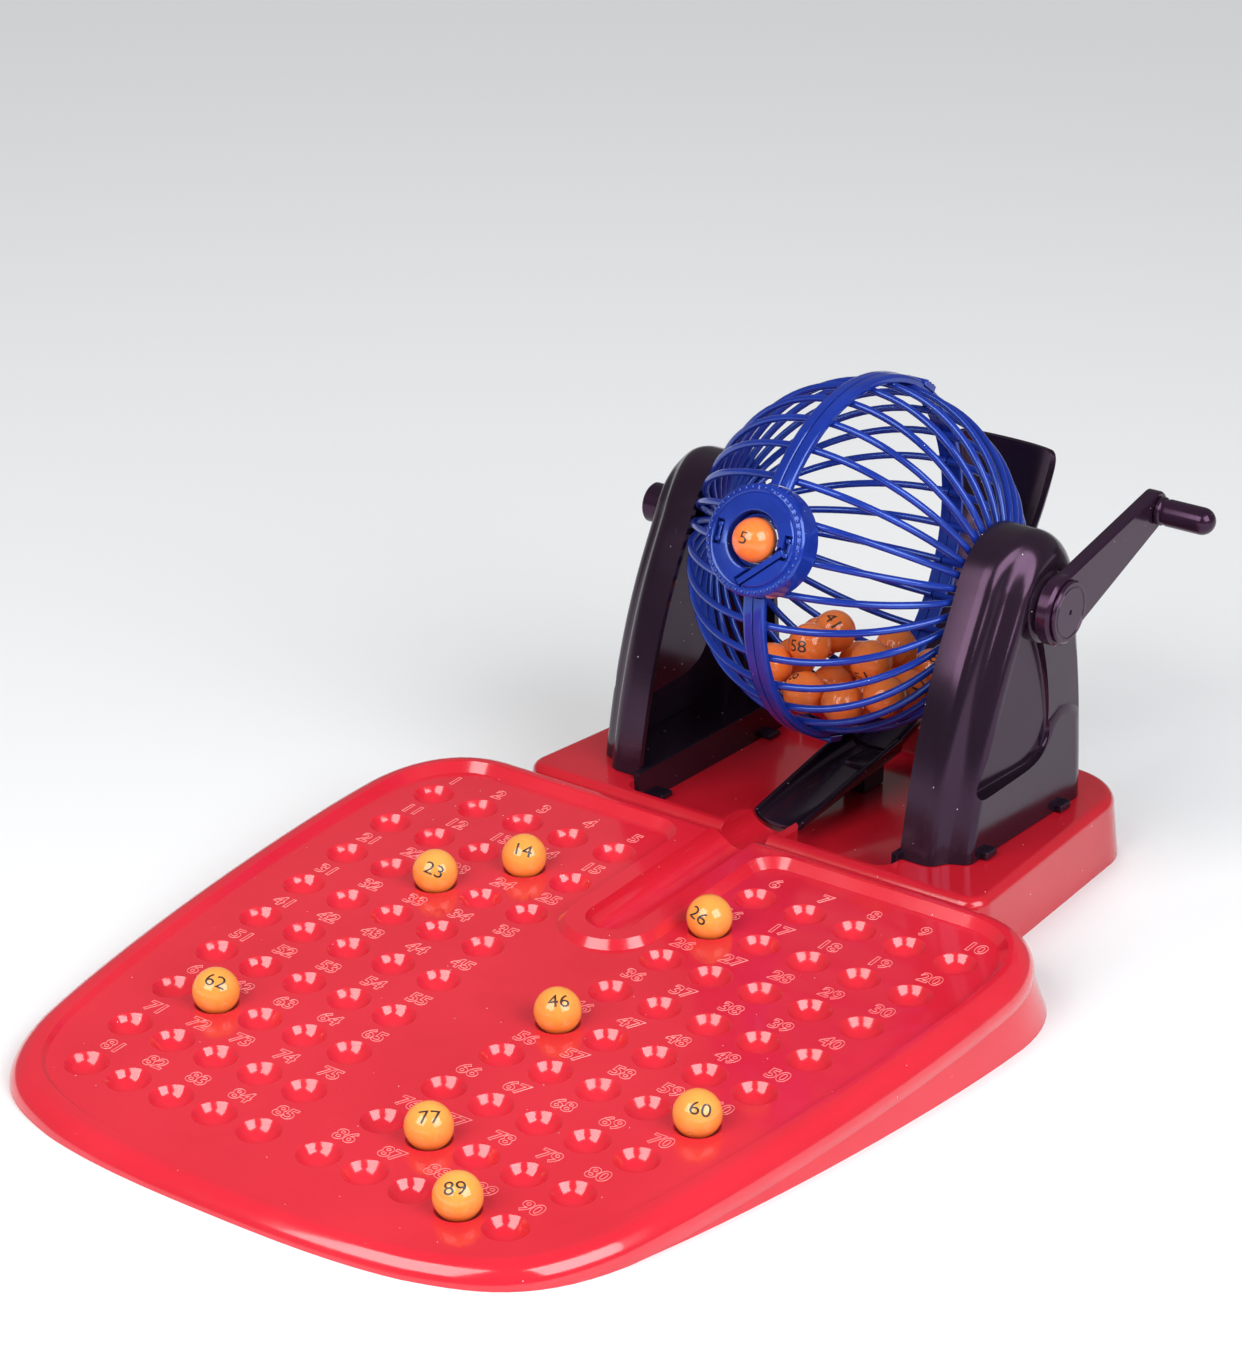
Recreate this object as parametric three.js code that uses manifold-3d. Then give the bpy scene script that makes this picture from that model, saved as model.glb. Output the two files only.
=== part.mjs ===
// A bingo game set up for play: a red number tray with ninety ball sockets, and behind it a red base
// whose two black stands carry a blue wire cage, turned by a crank, with a black guide and ramp.
// Units are millimetres. +X runs along the cage's axle, -Y is the players' side, +Z is up.
import * as THREE from "three";
import { mergeVertices } from "three/addons/utils/BufferGeometryUtils.js";
import Module from "manifold-3d";

// Clearances that every piece shares
const pieceGap = 0.3; // between pieces that touch on the real object
const cutOverrun = 2; // how far a cut runs past the face it opens

// Facets of the round forms and steps of the curves
const mergeWithin = 0.0001; // vertices nearer than this are one
const nearestPoints = 0.02; // points of an outline lie further apart than this
const sharpestCorner = 0.5; // cosine that limits how far an inset corner runs
const facets = { ball: 10, ballRings: 7, socket: 8, pin: 10, knob: 14, bar: 20, ring: 24 };
const curveSteps = { tray: 5, trough: 10, base: 5, spout: 8, stand: 7, recess: 4, crank: 5 };

// Balls
const ballDiameter = 16;

// Number tray: its top falls towards the players
const tray = {
  width: 281, depth: 292,
  backMargin: 36, frontMargin: 40, // from the first and the last row's centres to the tray's edges
  surfaceHeight: 20, // of the socket panel above the table, at row 1
  fall: 3.3, rimFall: 0.45, // degrees; the rim falls a little more than the panel
  rimRise: 3.2, rimWidth: 9, plate: 5.8, wall: 2.2, skirtDrop: 34,
  edgeRound: 3, skirtFlare: 9,
  rows: 9, columnsPerSide: 5,
  outerColumnBackShare: 0.8007, outerColumnFrontShare: 0.6121, // of the tray's half width
  pitchLinearShare: 0.53,
  middleGapBack: 61, middleGapFront: 24.8, gapLinearShare: 0.2,
  socketDepth: 3.7, socketMouthRadius: 7.2, socketFloorRadius: 3.4,
  runWidth: 19.5, runDepth: 8.5, runLength: 88, runRidge: 7, // the trough the drawn ball rolls into
};
// Balls that lie on the tray, each by the row and column of its socket
const trayBalls = [
  { name: "tray_ball_1", row: 1, column: 3 },
  { name: "tray_ball_2", row: 1, column: 5 },
  { name: "tray_ball_3", row: 2, column: 2 },
  { name: "tray_ball_4", row: 4, column: 5 },
  { name: "tray_ball_5", row: 5, column: 9 },
  { name: "tray_ball_6", row: 6, column: 1 },
  { name: "tray_ball_7", row: 7, column: 6 },
  { name: "tray_ball_8", row: 8, column: 8 },
];

// Machine base, behind the tray
const base = {
  width: 198, backWidth: 184, depth: 127, height: 24, cornerRadius: 26, frontRadius: 9,
  draft: 2.5, wall: 2.2, edgeRound: 4,
  wellHalfWidth: 52, wellFloor: 13.4, wellFrontWall: 5, wellBackWall: 8, trayGap: 0.6,
  spoutWidth: 27, spoutReach: 23, spoutRound: 9, // the spout leads from the ramp to the tray's trough
};

// Cage axle, measured from the base's front edge and the table
const axle = { fromFront: 69.2, height: 109.4, radius: 5, running: 0.35 };

// Stands
const stand = {
  inner: 57, outer: 80, // distances from the middle of the cage
  headRadius: 26, headBackAngle: 10, headFrontAngle: 160, // degrees that the round head spans
  frontReach: 56.5, frontShoulderReach: 32.5, frontShoulderDrop: 8.7, frontKneeReach: 50, frontKneeDrop: 31.5,
  backReach: 41.5, backShoulderReach: 29, backShoulderDrop: 13, backKneeReach: 39.5, backKneeDrop: 42.6,
  wall: 2.4, sleeveStart: 63,
  edgeRound: 11, recessDepth: 6, recessTop: 10, recessBottom: 62, recessFront: 27, recessBack: 15,
  recessCorner: 7, bossRadius: 12, bossProud: 1.5, sleeveRadius: 8.6,
  clipWidth: 7, clipDepth: 3, clipHeight: 3, clipSpread: 26,
};

// Cage
const cage = {
  radius: 65.4, halfLength: 60.5, squareness: 2, // squareness: exponent of the rounded-square profile
  barWidth: 2.6, bars: 30, barSteps: 7, bandRadius: 68, bandWidth: 8.8, bandThickness: 3,
  hubRadius: 13, hubThickness: 3, collarRadius: 8,
};

// Outlet in the cage's band
const outlet = {
  tilt: 21, // degrees above level, on the players' side
  face: 74.4, inner: 62.5, radius: 21.2, holeRadius: 10.5, lipRadius: 17.5, lipRise: 1.2,
  sleeveInnerRadius: 8.4, sleeveWall: 1.2, sleeveFoot: 2, sleeveSink: 3.3, ballSink: 1.7,
  fingerWidth: 2.2, fingerThickness: 1.6, fingerLength: 25, fingerOffset: 9.7, fingerTurn: 43,
  fingerRoom: 0.9, slotDepth: 4,
  clipOffset: 14.2, clipLength: 9, clipWidth: 3.2, clipDepth: 3,
};

// Snap clips that close the band, by their angle from the players' side, going up
const bandClip = { angles: [124, 204, 284], length: 8, width: 10, rise: 1 };

// Crank
const crank = {
  length: 67, rise: 17, // rise: degrees above level, pointing back
  hubRadius: 13, capRadius: 11.5, capThickness: 1.4, armRootRadius: 12, tipRadius: 7,
  armThickness: 5.6, edgeRound: 1, standGap: 0.8, axleGrip: 4.5,
  knobRadius: 5.3, knobLength: 22.5, pinRadius: 2.4, pinRunning: 0.4, pinLength: 16,
};
const axleCap = { radius: 7.6, length: 9, wall: 1.6, grip: 4 };

// Ball guide behind the cage and the ramp under it
const guide = {
  topAngle: 9, seamAngle: -51, endAngle: -77, // degrees round the axle from straight back
  rimTop: 102, rimSeam: 77.5, bulgeShare: 0.4, halfWidthTop: 24, halfWidth: 12, depthTop: 6, depth: 8.6,
  wall: 1.8, steps: 8, cornerAngle: 9, cornerSteps: 3, footWidth: 9, footLength: 14,
  spread: 90, cornerSpread: 40, // degrees either way that the section spans, and that its corners lose
  sectionSides: 6, roundness: 0.8, // roundness: 1 gives an ellipse, less a squarer trough
};
const ramp = { halfWidth: 11, rimFront: 21.8, floorFront: 18.5, front: 23.6, steps: 3 };

// Balls piled in the cage: rows run along the axle, and the first layer lies on the bars
const pile = {
  spacing: 16.6, topSpacing: 27, layerStep: 15.5, wallGap: 0.6, // spacing: between the centres of neighbours
};
const pileLayers = [
  { rows: 3, perRow: 4, pitch: pile.spacing },
  { rows: 2, perRow: 2, pitch: pile.topSpacing },
];

const wasm = await Module();
wasm.setup();

const red = new THREE.MeshStandardMaterial({ color: 0xd2101f, roughness: 0.25, metalness: 0 });
const darkRed = new THREE.MeshStandardMaterial({ color: 0xc40f1c, roughness: 0.3, metalness: 0 });
const black = new THREE.MeshStandardMaterial({ color: 0x1a181c, roughness: 0.22, metalness: 0 });
const blue = new THREE.MeshStandardMaterial({ color: 0x1b2c9c, roughness: 0.3, metalness: 0 });
const orange = new THREE.MeshStandardMaterial({ color: 0xf07f2e, roughness: 0.3, metalness: 0 });

const radians = THREE.MathUtils.degToRad;
const ballRadius = ballDiameter / 2;

// Turns a closed three.js geometry into a solid that can be cut and joined
function toSolid(geometry) {
  const bare = geometry.index ? geometry.toNonIndexed() : geometry.clone();
  bare.deleteAttribute("normal");
  bare.deleteAttribute("uv");
  const merged = mergeVertices(bare, mergeWithin);
  const mesh = new wasm.Mesh({
    numProp: 3,
    vertProperties: new Float32Array(merged.attributes.position.array),
    triVerts: new Uint32Array(merged.index.array),
  });
  return new wasm.Manifold(mesh);
}

// Turns a solid back into a geometry
function toGeometry(solid) {
  const mesh = solid.getMesh();
  const geometry = new THREE.BufferGeometry();
  geometry.setAttribute("position", new THREE.BufferAttribute(mesh.vertProperties, 3));
  geometry.setIndex(new THREE.BufferAttribute(mesh.triVerts, 1));
  geometry.computeVertexNormals();
  return geometry;
}

function meshOf(name, shape, material) {
  const geometry = shape.isBufferGeometry ? shape : toGeometry(shape);
  const mesh = new THREE.Mesh(geometry, material);
  mesh.name = name;
  return mesh;
}

// Joins rings of points, all of one length, into a closed skin with both ends capped
function skin(rings, contour) {
  const count = rings[0].length;
  const positions = rings.flat().flatMap((point) => [point.x, point.y, point.z]);
  const index = [];
  for (let ring = 0; ring + 1 < rings.length; ring += 1) {
    for (let k = 0; k < count; k += 1) {
      const a = ring * count + k;
      const b = ring * count + ((k + 1) % count);
      index.push(a, b, b + count, a, b + count, a + count);
    }
  }
  const last = (rings.length - 1) * count;
  for (const [a, b, c] of THREE.ShapeUtils.triangulateShape(contour, [])) {
    index.push(c, b, a, last + a, last + b, last + c);
  }
  const geometry = new THREE.BufferGeometry();
  geometry.setAttribute("position", new THREE.Float32BufferAttribute(positions, 3));
  geometry.setIndex(index);
  return geometry;
}

// Moves a counter-clockwise outline inwards by a distance
function inset(outline, distance) {
  return outline.map((point, k) => {
    const before = outline[(k + outline.length - 1) % outline.length];
    const after = outline[(k + 1) % outline.length];
    const back = point.clone().sub(before).normalize();
    const ahead = after.clone().sub(point).normalize();
    const normal = new THREE.Vector2(-back.y - ahead.y, back.x + ahead.x).normalize();
    const stretch = 1 / Math.max(normal.dot(new THREE.Vector2(-back.y, back.x)), sharpestCorner);
    return point.clone().addScaledVector(normal, distance * stretch);
  });
}

// A solid of one outline whose size changes with height: levels are [inset, height] pairs
function stack(outline, levels) {
  const rings = levels.map(([distance, height]) =>
    inset(outline, distance).map((point) => new THREE.Vector3(point.x, point.y, height)));
  return skin(rings, outline);
}

// Points of a path without the repeated ones
function pointsOf(path, steps) {
  const points = path.getPoints(steps);
  return points.filter((point, k) => {
    const next = points[(k + 1) % points.length];
    return point.distanceTo(next) > nearestPoints;
  });
}

function box(low, high) {
  const size = new THREE.Vector3().subVectors(high, low);
  const middle = new THREE.Vector3().addVectors(low, high).divideScalar(2);
  return toSolid(new THREE.BoxGeometry(size.x, size.y, size.z).translate(middle.x, middle.y, middle.z));
}

// A round bar along X
function barAlongX(radius, start, end, sides = facets.bar) {
  const geometry = new THREE.CylinderGeometry(radius, radius, end - start, sides);
  geometry.rotateZ(Math.PI / 2);
  return toSolid(geometry.translate((start + end) / 2, 0, 0));
}

// Lays a solid drawn in (y, z, x) so that its third direction runs along X
function standUp(geometry) {
  const turn = new THREE.Matrix4().makeBasis(
    new THREE.Vector3(0, 1, 0), new THREE.Vector3(0, 0, 1), new THREE.Vector3(1, 0, 0));
  return geometry.applyMatrix4(turn);
}

// Number tray

// Half of the tray's outline as Bezier curves: shares of its half width and of its depth
const trayOutlineShares = [
  [[0.726, 0], [0.885, 0], [0.985, 0.06], [0.995, 0.15]],
  [[0.995, 0.15], [1.008, 0.33], [0.952, 0.64], [0.866, 0.815]],
  [[0.866, 0.815], [0.795, 0.93], [0.68, 0.955], [0.51, 0.98]],
  [[0.51, 0.98], [0.34, 1], [0.14, 1], [0, 1]],
];

function trayPoint([across, along]) {
  return new THREE.Vector2((across * tray.width) / 2, tray.backMargin - along * tray.depth);
}

function trayOutline() {
  const right = [];
  for (const curve of trayOutlineShares) {
    const bezier = new THREE.CubicBezierCurve(...curve.map(trayPoint));
    right.push(...bezier.getPoints(curveSteps.tray).slice(0, -1));
  }
  const left = right.map((point) => new THREE.Vector2(-point.x, point.y)).reverse();
  const front = new THREE.Vector2(0, tray.backMargin - tray.depth);
  return [...left, ...right, front].reverse();
}

// Where a socket's centre lies on the panel
function socketPlace(row, column) {
  const t = row / (tray.rows - 1);
  const blend = (back, front, linearShare) =>
    back + (front - back) * (linearShare * t + (1 - linearShare) * t * t);
  const pitchOf = (outerColumnShare, middleGap) =>
    ((outerColumnShare * tray.width) / 2 - middleGap / 2) / (tray.columnsPerSide - 1);
  const pitch = blend(pitchOf(tray.outerColumnBackShare, tray.middleGapBack),
    pitchOf(tray.outerColumnFrontShare, tray.middleGapFront), tray.pitchLinearShare);
  const gap = blend(tray.middleGapBack, tray.middleGapFront, tray.gapLinearShare);
  const rowPitch = (tray.depth - tray.backMargin - tray.frontMargin) / (tray.rows - 1);
  const fromMiddle = column - tray.columnsPerSide;
  const across = fromMiddle >= 0 ? gap / 2 + fromMiddle * pitch : -gap / 2 + (fromMiddle + 1) * pitch;
  return new THREE.Vector3(across, -row * rowPitch, 0);
}

// From the tray's own plane, where row 1 is at the origin, to the table's frame
const trayLie = new THREE.Matrix4().makeRotationX(radians(tray.fall))
  .premultiply(new THREE.Matrix4().makeTranslation(0, -tray.backMargin - base.trayGap, tray.surfaceHeight));

// The trough's section, drawn across the tray and run along it to a round end
function runSolid(grow) {
  const halfWidth = tray.runWidth / 2 + grow;
  const depth = tray.runDepth + grow;
  const steps = curveSteps.trough;
  const section = [];
  for (let k = 0; k <= steps; k += 1) {
    const angle = Math.PI + (Math.PI * k) / steps;
    section.push(new THREE.Vector2(halfWidth * Math.cos(angle), depth * Math.sin(angle)));
  }
  section.push(new THREE.Vector2(halfWidth, depth), new THREE.Vector2(-halfWidth, depth));
  const length = tray.runLength - tray.runWidth / 2;
  const end = tray.backMargin - length;
  const straight = new THREE.ExtrudeGeometry(new THREE.Shape(section),
    { depth: length + cutOverrun, bevelEnabled: false });
  straight.rotateX(Math.PI / 2).translate(0, tray.backMargin + cutOverrun, tray.rimRise);
  const round = new THREE.SphereGeometry(1, 2 * steps, steps);
  round.rotateX(Math.PI / 2).scale(halfWidth, halfWidth, depth).translate(0, end, tray.rimRise);
  const above = box(new THREE.Vector3(-halfWidth, end - halfWidth, tray.rimRise),
    new THREE.Vector3(halfWidth, end, tray.rimRise + depth));
  return toSolid(straight).add(toSolid(round).subtract(above));
}

function numberTray() {
  const outline = trayOutline();
  const round = tray.edgeRound;
  const body = toSolid(stack(outline, [
    [-tray.skirtFlare, -tray.skirtDrop],
    [0, tray.rimRise - round],
    [round * (1 - Math.SQRT1_2), tray.rimRise - round * (1 - Math.SQRT1_2)],
    [round, tray.rimRise],
  ]));
  const panel = toSolid(stack(outline, [
    [tray.rimWidth + tray.rimRise, 0],
    [tray.rimWidth, tray.rimRise],
    [tray.rimWidth, tray.rimRise + cutOverrun],
  ]));
  const under = toSolid(stack(outline, [
    [tray.wall - tray.skirtFlare, -tray.skirtDrop - cutOverrun],
    [tray.wall, -tray.plate],
  ]));
  const run = runSolid(0);
  const runBed = runSolid(tray.runRidge);
  const shell = body.subtract(under).rotate([tray.rimFall, 0, 0]);
  const runFloor = runSolid(tray.wall).intersect(body);
  let solid = shell.subtract(panel.subtract(runBed)).add(runFloor);
  solid = solid.subtract(run);
  const dimple = new THREE.LatheGeometry([
    new THREE.Vector2(0, -tray.socketDepth),
    new THREE.Vector2(tray.socketFloorRadius, -tray.socketDepth),
    new THREE.Vector2(tray.socketMouthRadius, 0),
    new THREE.Vector2(tray.socketMouthRadius, cutOverrun),
    new THREE.Vector2(0, cutOverrun),
  ], facets.socket).rotateX(Math.PI / 2);
  const sockets = [];
  for (let row = 0; row < tray.rows; row += 1) {
    for (let column = 0; column < 2 * tray.columnsPerSide; column += 1) {
      const place = socketPlace(row, column);
      sockets.push(toSolid(dimple.clone().translate(place.x, place.y, place.z)));
    }
  }
  solid = solid.subtract(wasm.Manifold.union(sockets));
  const tilted = toSolid(toGeometry(solid).applyMatrix4(trayLie));
  const table = box(new THREE.Vector3(-tray.width, -tray.depth - tray.width, -tray.width),
    new THREE.Vector3(tray.width, tray.width, 0));
  const behind = box(new THREE.Vector3(-tray.width, -base.trayGap, -tray.width),
    new THREE.Vector3(tray.width, tray.width, tray.width));
  return meshOf("number_tray", tilted.subtract(table).subtract(behind), red);
}

// One ball, its pole along Z
function ballGeometry() {
  return new THREE.SphereGeometry(ballRadius, facets.ball, facets.ballRings).rotateX(Math.PI / 2);
}

function ballsOnTray() {
  return trayBalls.map(({ name, row, column }) => {
    const place = socketPlace(row, column);
    place.z = ballRadius - tray.socketDepth + pieceGap;
    const mesh = meshOf(name, ballGeometry().rotateX(radians(tray.fall)), orange);
    mesh.position.copy(place.applyMatrix4(trayLie));
    return mesh;
  });
}

// Machine base

function baseOutline() {
  const half = base.width / 2;
  const backHalf = base.backWidth / 2;
  const corner = base.cornerRadius;
  const front = base.frontRadius;
  const path = new THREE.Path();
  path.moveTo(-half + front, 0);
  path.lineTo(half - front, 0);
  path.absarc(half - front, front, front, -Math.PI / 2, 0);
  path.absarc(backHalf - corner, base.depth - corner, corner, 0, Math.PI / 2);
  path.absarc(-backHalf + corner, base.depth - corner, corner, Math.PI / 2, Math.PI);
  path.absarc(-half + front, front, front, Math.PI, Math.PI * 1.5);
  return pointsOf(path, curveSteps.base);
}

function machineBase() {
  const outline = baseOutline();
  const round = base.edgeRound;
  const ahead = (reach) => box(new THREE.Vector3(-base.width, -base.depth, -base.height),
    new THREE.Vector3(base.width, reach, 2 * base.height));
  const body = toSolid(stack(outline, [
    [-base.draft, 0],
    [0, base.height - round],
    [round * (1 - Math.SQRT1_2), base.height - round * (1 - Math.SQRT1_2)],
    [round, base.height],
  ])).subtract(ahead(0));
  const cavity = toSolid(stack(outline, [
    [base.wall - base.draft, -cutOverrun],
    [base.wall, base.height - round],
    [base.wall, base.height - base.wall],
  ])).subtract(ahead(base.wellFrontWall - base.wall / 2));
  const well = (grow, top) => box(
    new THREE.Vector3(-base.wellHalfWidth - grow, base.wellFrontWall - grow, base.wellFloor - grow),
    new THREE.Vector3(base.wellHalfWidth + grow, base.depth - base.wellBackWall + grow, top));
  const above = base.height + cutOverrun;
  const spoutEdge = base.spoutWidth / 2;
  const lip = new THREE.Path();
  lip.moveTo(-spoutEdge, base.wall / 2);
  lip.lineTo(spoutEdge, base.wall / 2);
  lip.absellipse(0, base.spoutReach - base.spoutRound, spoutEdge, base.spoutRound, 0, Math.PI);
  const spout = toSolid(stack(pointsOf(lip, curveSteps.spout), [
    [0, base.wall], [0, base.height - base.wall / 2],
  ]));
  const trough = toSolid(toGeometry(runSolid(0)).applyMatrix4(trayLie)
    .translate(0, tray.runLength / 2, 0));
  const solid = body.subtract(cavity.subtract(well(base.wall, above)))
    .subtract(well(0, above)).add(spout).subtract(trough);
  return meshOf("machine_base", solid, darkRed);
}

// Stands

// A stand's outline from the side, with the axle at the origin: y to the back, z up
function standOutline(foot) {
  const path = new THREE.Path();
  const head = stand.headRadius;
  const headBack = radians(stand.headBackAngle);
  path.moveTo(-stand.frontReach, foot);
  path.lineTo(stand.backReach, foot);
  path.bezierCurveTo(stand.backKneeReach, -stand.backKneeDrop, stand.backShoulderReach,
    -stand.backShoulderDrop, head * Math.cos(headBack), head * Math.sin(headBack));
  path.absarc(0, 0, head, headBack, radians(stand.headFrontAngle));
  path.bezierCurveTo(-stand.frontShoulderReach, -stand.frontShoulderDrop, -stand.frontKneeReach,
    -stand.frontKneeDrop, -stand.frontReach, foot);
  return pointsOf(path, curveSteps.stand);
}

// The hollow triangle sunk into a stand's outer face
function recessOutline() {
  const top = new THREE.Vector2(-stand.recessTop / 2, -stand.recessTop);
  const front = new THREE.Vector2(-stand.recessFront, -stand.recessBottom);
  const back = new THREE.Vector2(stand.recessBack, -stand.recessBottom);
  const corners = [front, back, top];
  const path = new THREE.Path();
  corners.forEach((corner, k) => {
    const before = corners[(k + corners.length - 1) % corners.length];
    const after = corners[(k + 1) % corners.length];
    const enter = corner.clone().add(before.clone().sub(corner).setLength(stand.recessCorner));
    const leave = corner.clone().add(after.clone().sub(corner).setLength(stand.recessCorner));
    if (k === 0) path.moveTo(enter.x, enter.y);
    else path.lineTo(enter.x, enter.y);
    path.quadraticCurveTo(corner.x, corner.y, leave.x, leave.y);
  });
  return pointsOf(path, curveSteps.recess);
}

// The right stand; the left one is its mirror image
function standSolid() {
  const foot = base.height + pieceGap - axle.height;
  const outline = standOutline(foot - stand.edgeRound * 2);
  const round = stand.edgeRound;
  const shell = (shrink, top) => toSolid(standUp(stack(outline, [
    [shrink, stand.inner - cutOverrun * Math.sign(shrink)],
    [shrink, top - round],
    [shrink + round * (1 - Math.cos(Math.PI / 6)), top - round * (1 - Math.sin(Math.PI / 6))],
    [shrink + round * (1 - Math.cos(Math.PI / 3)), top - round * (1 - Math.sin(Math.PI / 3))],
    [shrink + round, top],
  ])));
  const outerBody = shell(0, stand.outer);
  const pocket = (grow, low, high) => toSolid(standUp(stack(recessOutline(), [[-grow, low], [-grow, high]])));
  const pocketFloor = stand.outer - stand.recessDepth;
  let solid = outerBody.subtract(shell(stand.wall, stand.outer - stand.wall));
  solid = solid.add(pocket(stand.wall, pocketFloor - stand.wall, stand.outer).intersect(outerBody));
  solid = solid.subtract(pocket(0, pocketFloor, stand.outer + cutOverrun));
  solid = solid.add(barAlongX(stand.sleeveRadius, stand.sleeveStart, stand.outer));
  solid = solid.add(barAlongX(stand.bossRadius, stand.outer - stand.wall, stand.outer + stand.bossProud));
  const under = box(new THREE.Vector3(0, -stand.frontReach * 2, foot - stand.edgeRound * 4),
    new THREE.Vector3(stand.outer * 2, stand.backReach * 2, foot));
  solid = solid.subtract(under);
  solid = solid.subtract(barAlongX(axle.radius + axle.running, 0, stand.outer * 2));
  for (const side of [-1, 1]) {
    const middle = (stand.backReach - stand.frontReach) / 2 + side * stand.clipSpread;
    const low = new THREE.Vector3(stand.outer - cutOverrun, middle - stand.clipWidth / 2, foot);
    const size = new THREE.Vector3(cutOverrun + stand.clipDepth, stand.clipWidth, stand.clipHeight);
    solid = solid.add(box(low, low.clone().add(size)));
  }
  return solid;
}

function stands() {
  const right = meshOf("stand_right", standSolid(), black);
  const left = meshOf("stand_left", toGeometry(standSolid().mirror([1, 0, 0])), black);
  for (const mesh of [left, right]) mesh.position.set(0, axle.fromFront, axle.height);
  return [left, right];
}

// Cage

// Distance from the axle at a place along it, on the cage's rounded-square profile
function cageReach(along, radius, halfLength) {
  const share = Math.min(Math.abs(along) / halfLength, 1);
  return radius * (1 - share ** cage.squareness) ** (1 / cage.squareness);
}

// One bar of a half, standing in the XZ plane, from the band to the hub
function cageBar() {
  const rings = [];
  const half = cage.barWidth / 2;
  const lastAngle = Math.asin((cage.hubRadius / 2 / cage.radius) ** (cage.squareness / 2));
  for (let k = 0; k <= cage.barSteps; k += 1) {
    const angle = Math.PI / 2 + ((lastAngle - Math.PI / 2) * k) / cage.barSteps;
    const power = 2 / cage.squareness;
    const place = (shrink) => new THREE.Vector2(
      Math.max((cage.halfLength - shrink) * Math.abs(Math.cos(angle)) ** power, pieceGap),
      (cage.radius - shrink) * Math.sin(angle) ** power);
    const outside = place(0);
    const inside = place(cage.barWidth);
    rings.push([
      new THREE.Vector3(inside.x, -half, inside.y),
      new THREE.Vector3(inside.x, half, inside.y),
      new THREE.Vector3(outside.x, half, outside.y),
      new THREE.Vector3(outside.x, -half, outside.y),
    ]);
  }
  const contour = [[0, 0], [1, 0], [1, 1], [0, 1]].map(([x, y]) => new THREE.Vector2(x, y));
  return skin(rings, contour);
}

// A ring or disc turned about the X axle: profile points are [radius, along]
function turnedAboutX(profile, sides) {
  const points = profile.map(([radius, along]) => new THREE.Vector2(radius, along));
  return toSolid(new THREE.LatheGeometry(points, sides).rotateZ(-Math.PI / 2));
}

// Turns a geometry drawn out along +Y to a direction round the axle, 0 being the players' side
function aim(geometry, degrees) {
  return geometry.rotateX(Math.PI - radians(degrees));
}

// The cylinder that the outlet ring takes out of the band and bars
function outletSpace(radius, start, end) {
  const geometry = new THREE.CylinderGeometry(radius, radius, end - start, facets.ring);
  return toSolid(aim(geometry.translate(0, (start + end) / 2, 0), outlet.tilt));
}

function bandClipBox(angle, gap) {
  const { length, width, rise } = bandClip;
  const low = cage.bandRadius - cage.bandThickness / 2;
  const high = cage.bandRadius + rise;
  const geometry = new THREE.BoxGeometry(width + 2 * gap, high - low + 2 * gap, length + 2 * gap);
  return toSolid(aim(geometry.translate(0, (high + low) / 2, 0), angle));
}

// The half on the crank's side; ends is how far its axle reaches
function cageHalf(ends) {
  const sides = cage.bars * 2;
  const bandInner = cage.bandRadius - cage.bandThickness;
  let solid = turnedAboutX([
    [bandInner, pieceGap / 2], [cage.bandRadius, pieceGap / 2],
    [cage.bandRadius, cage.bandWidth / 2], [bandInner, cage.bandWidth / 2], [bandInner, pieceGap / 2],
  ], sides);
  const bar = toSolid(cageBar());
  const bars = [];
  for (let k = 0; k < cage.bars; k += 1) {
    bars.push(bar.rotate([(k * 360) / cage.bars, 0, 0]));
  }
  const hubStart = cage.halfLength - cage.hubThickness;
  const hub = barAlongX(cage.hubRadius, hubStart, cage.halfLength, cage.bars);
  const collar = barAlongX(cage.collarRadius, hubStart, stand.sleeveStart - pieceGap);
  const shaft = barAlongX(axle.radius, hubStart, ends);
  solid = solid.add(wasm.Manifold.union(bars)).add(hub).add(collar).add(shaft);
  solid = solid.subtract(outletSpace(outlet.radius + pieceGap, outlet.inner - outlet.radius,
    outlet.face + cutOverrun));
  for (const angle of bandClip.angles) solid = solid.subtract(bandClipBox(angle, pieceGap));
  return solid;
}

// A ring about the outlet's own axis: profile points are [radius, distance from the axle]
function turnedAboutOutlet(profile, sides) {
  const points = profile.map(([radius, along]) => new THREE.Vector2(radius, along));
  return toSolid(aim(new THREE.LatheGeometry(points, sides), outlet.tilt));
}

// A box at the outlet: across runs along the axle, turned on the ring's face by a number of degrees
function outletBox(size, across, up, low, turn) {
  const geometry = new THREE.BoxGeometry(size.x, size.y, size.z);
  geometry.translate(0, low + size.y / 2, up);
  geometry.rotateY(radians(turn)).translate(across, 0, 0);
  return toSolid(aim(geometry, outlet.tilt));
}

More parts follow.
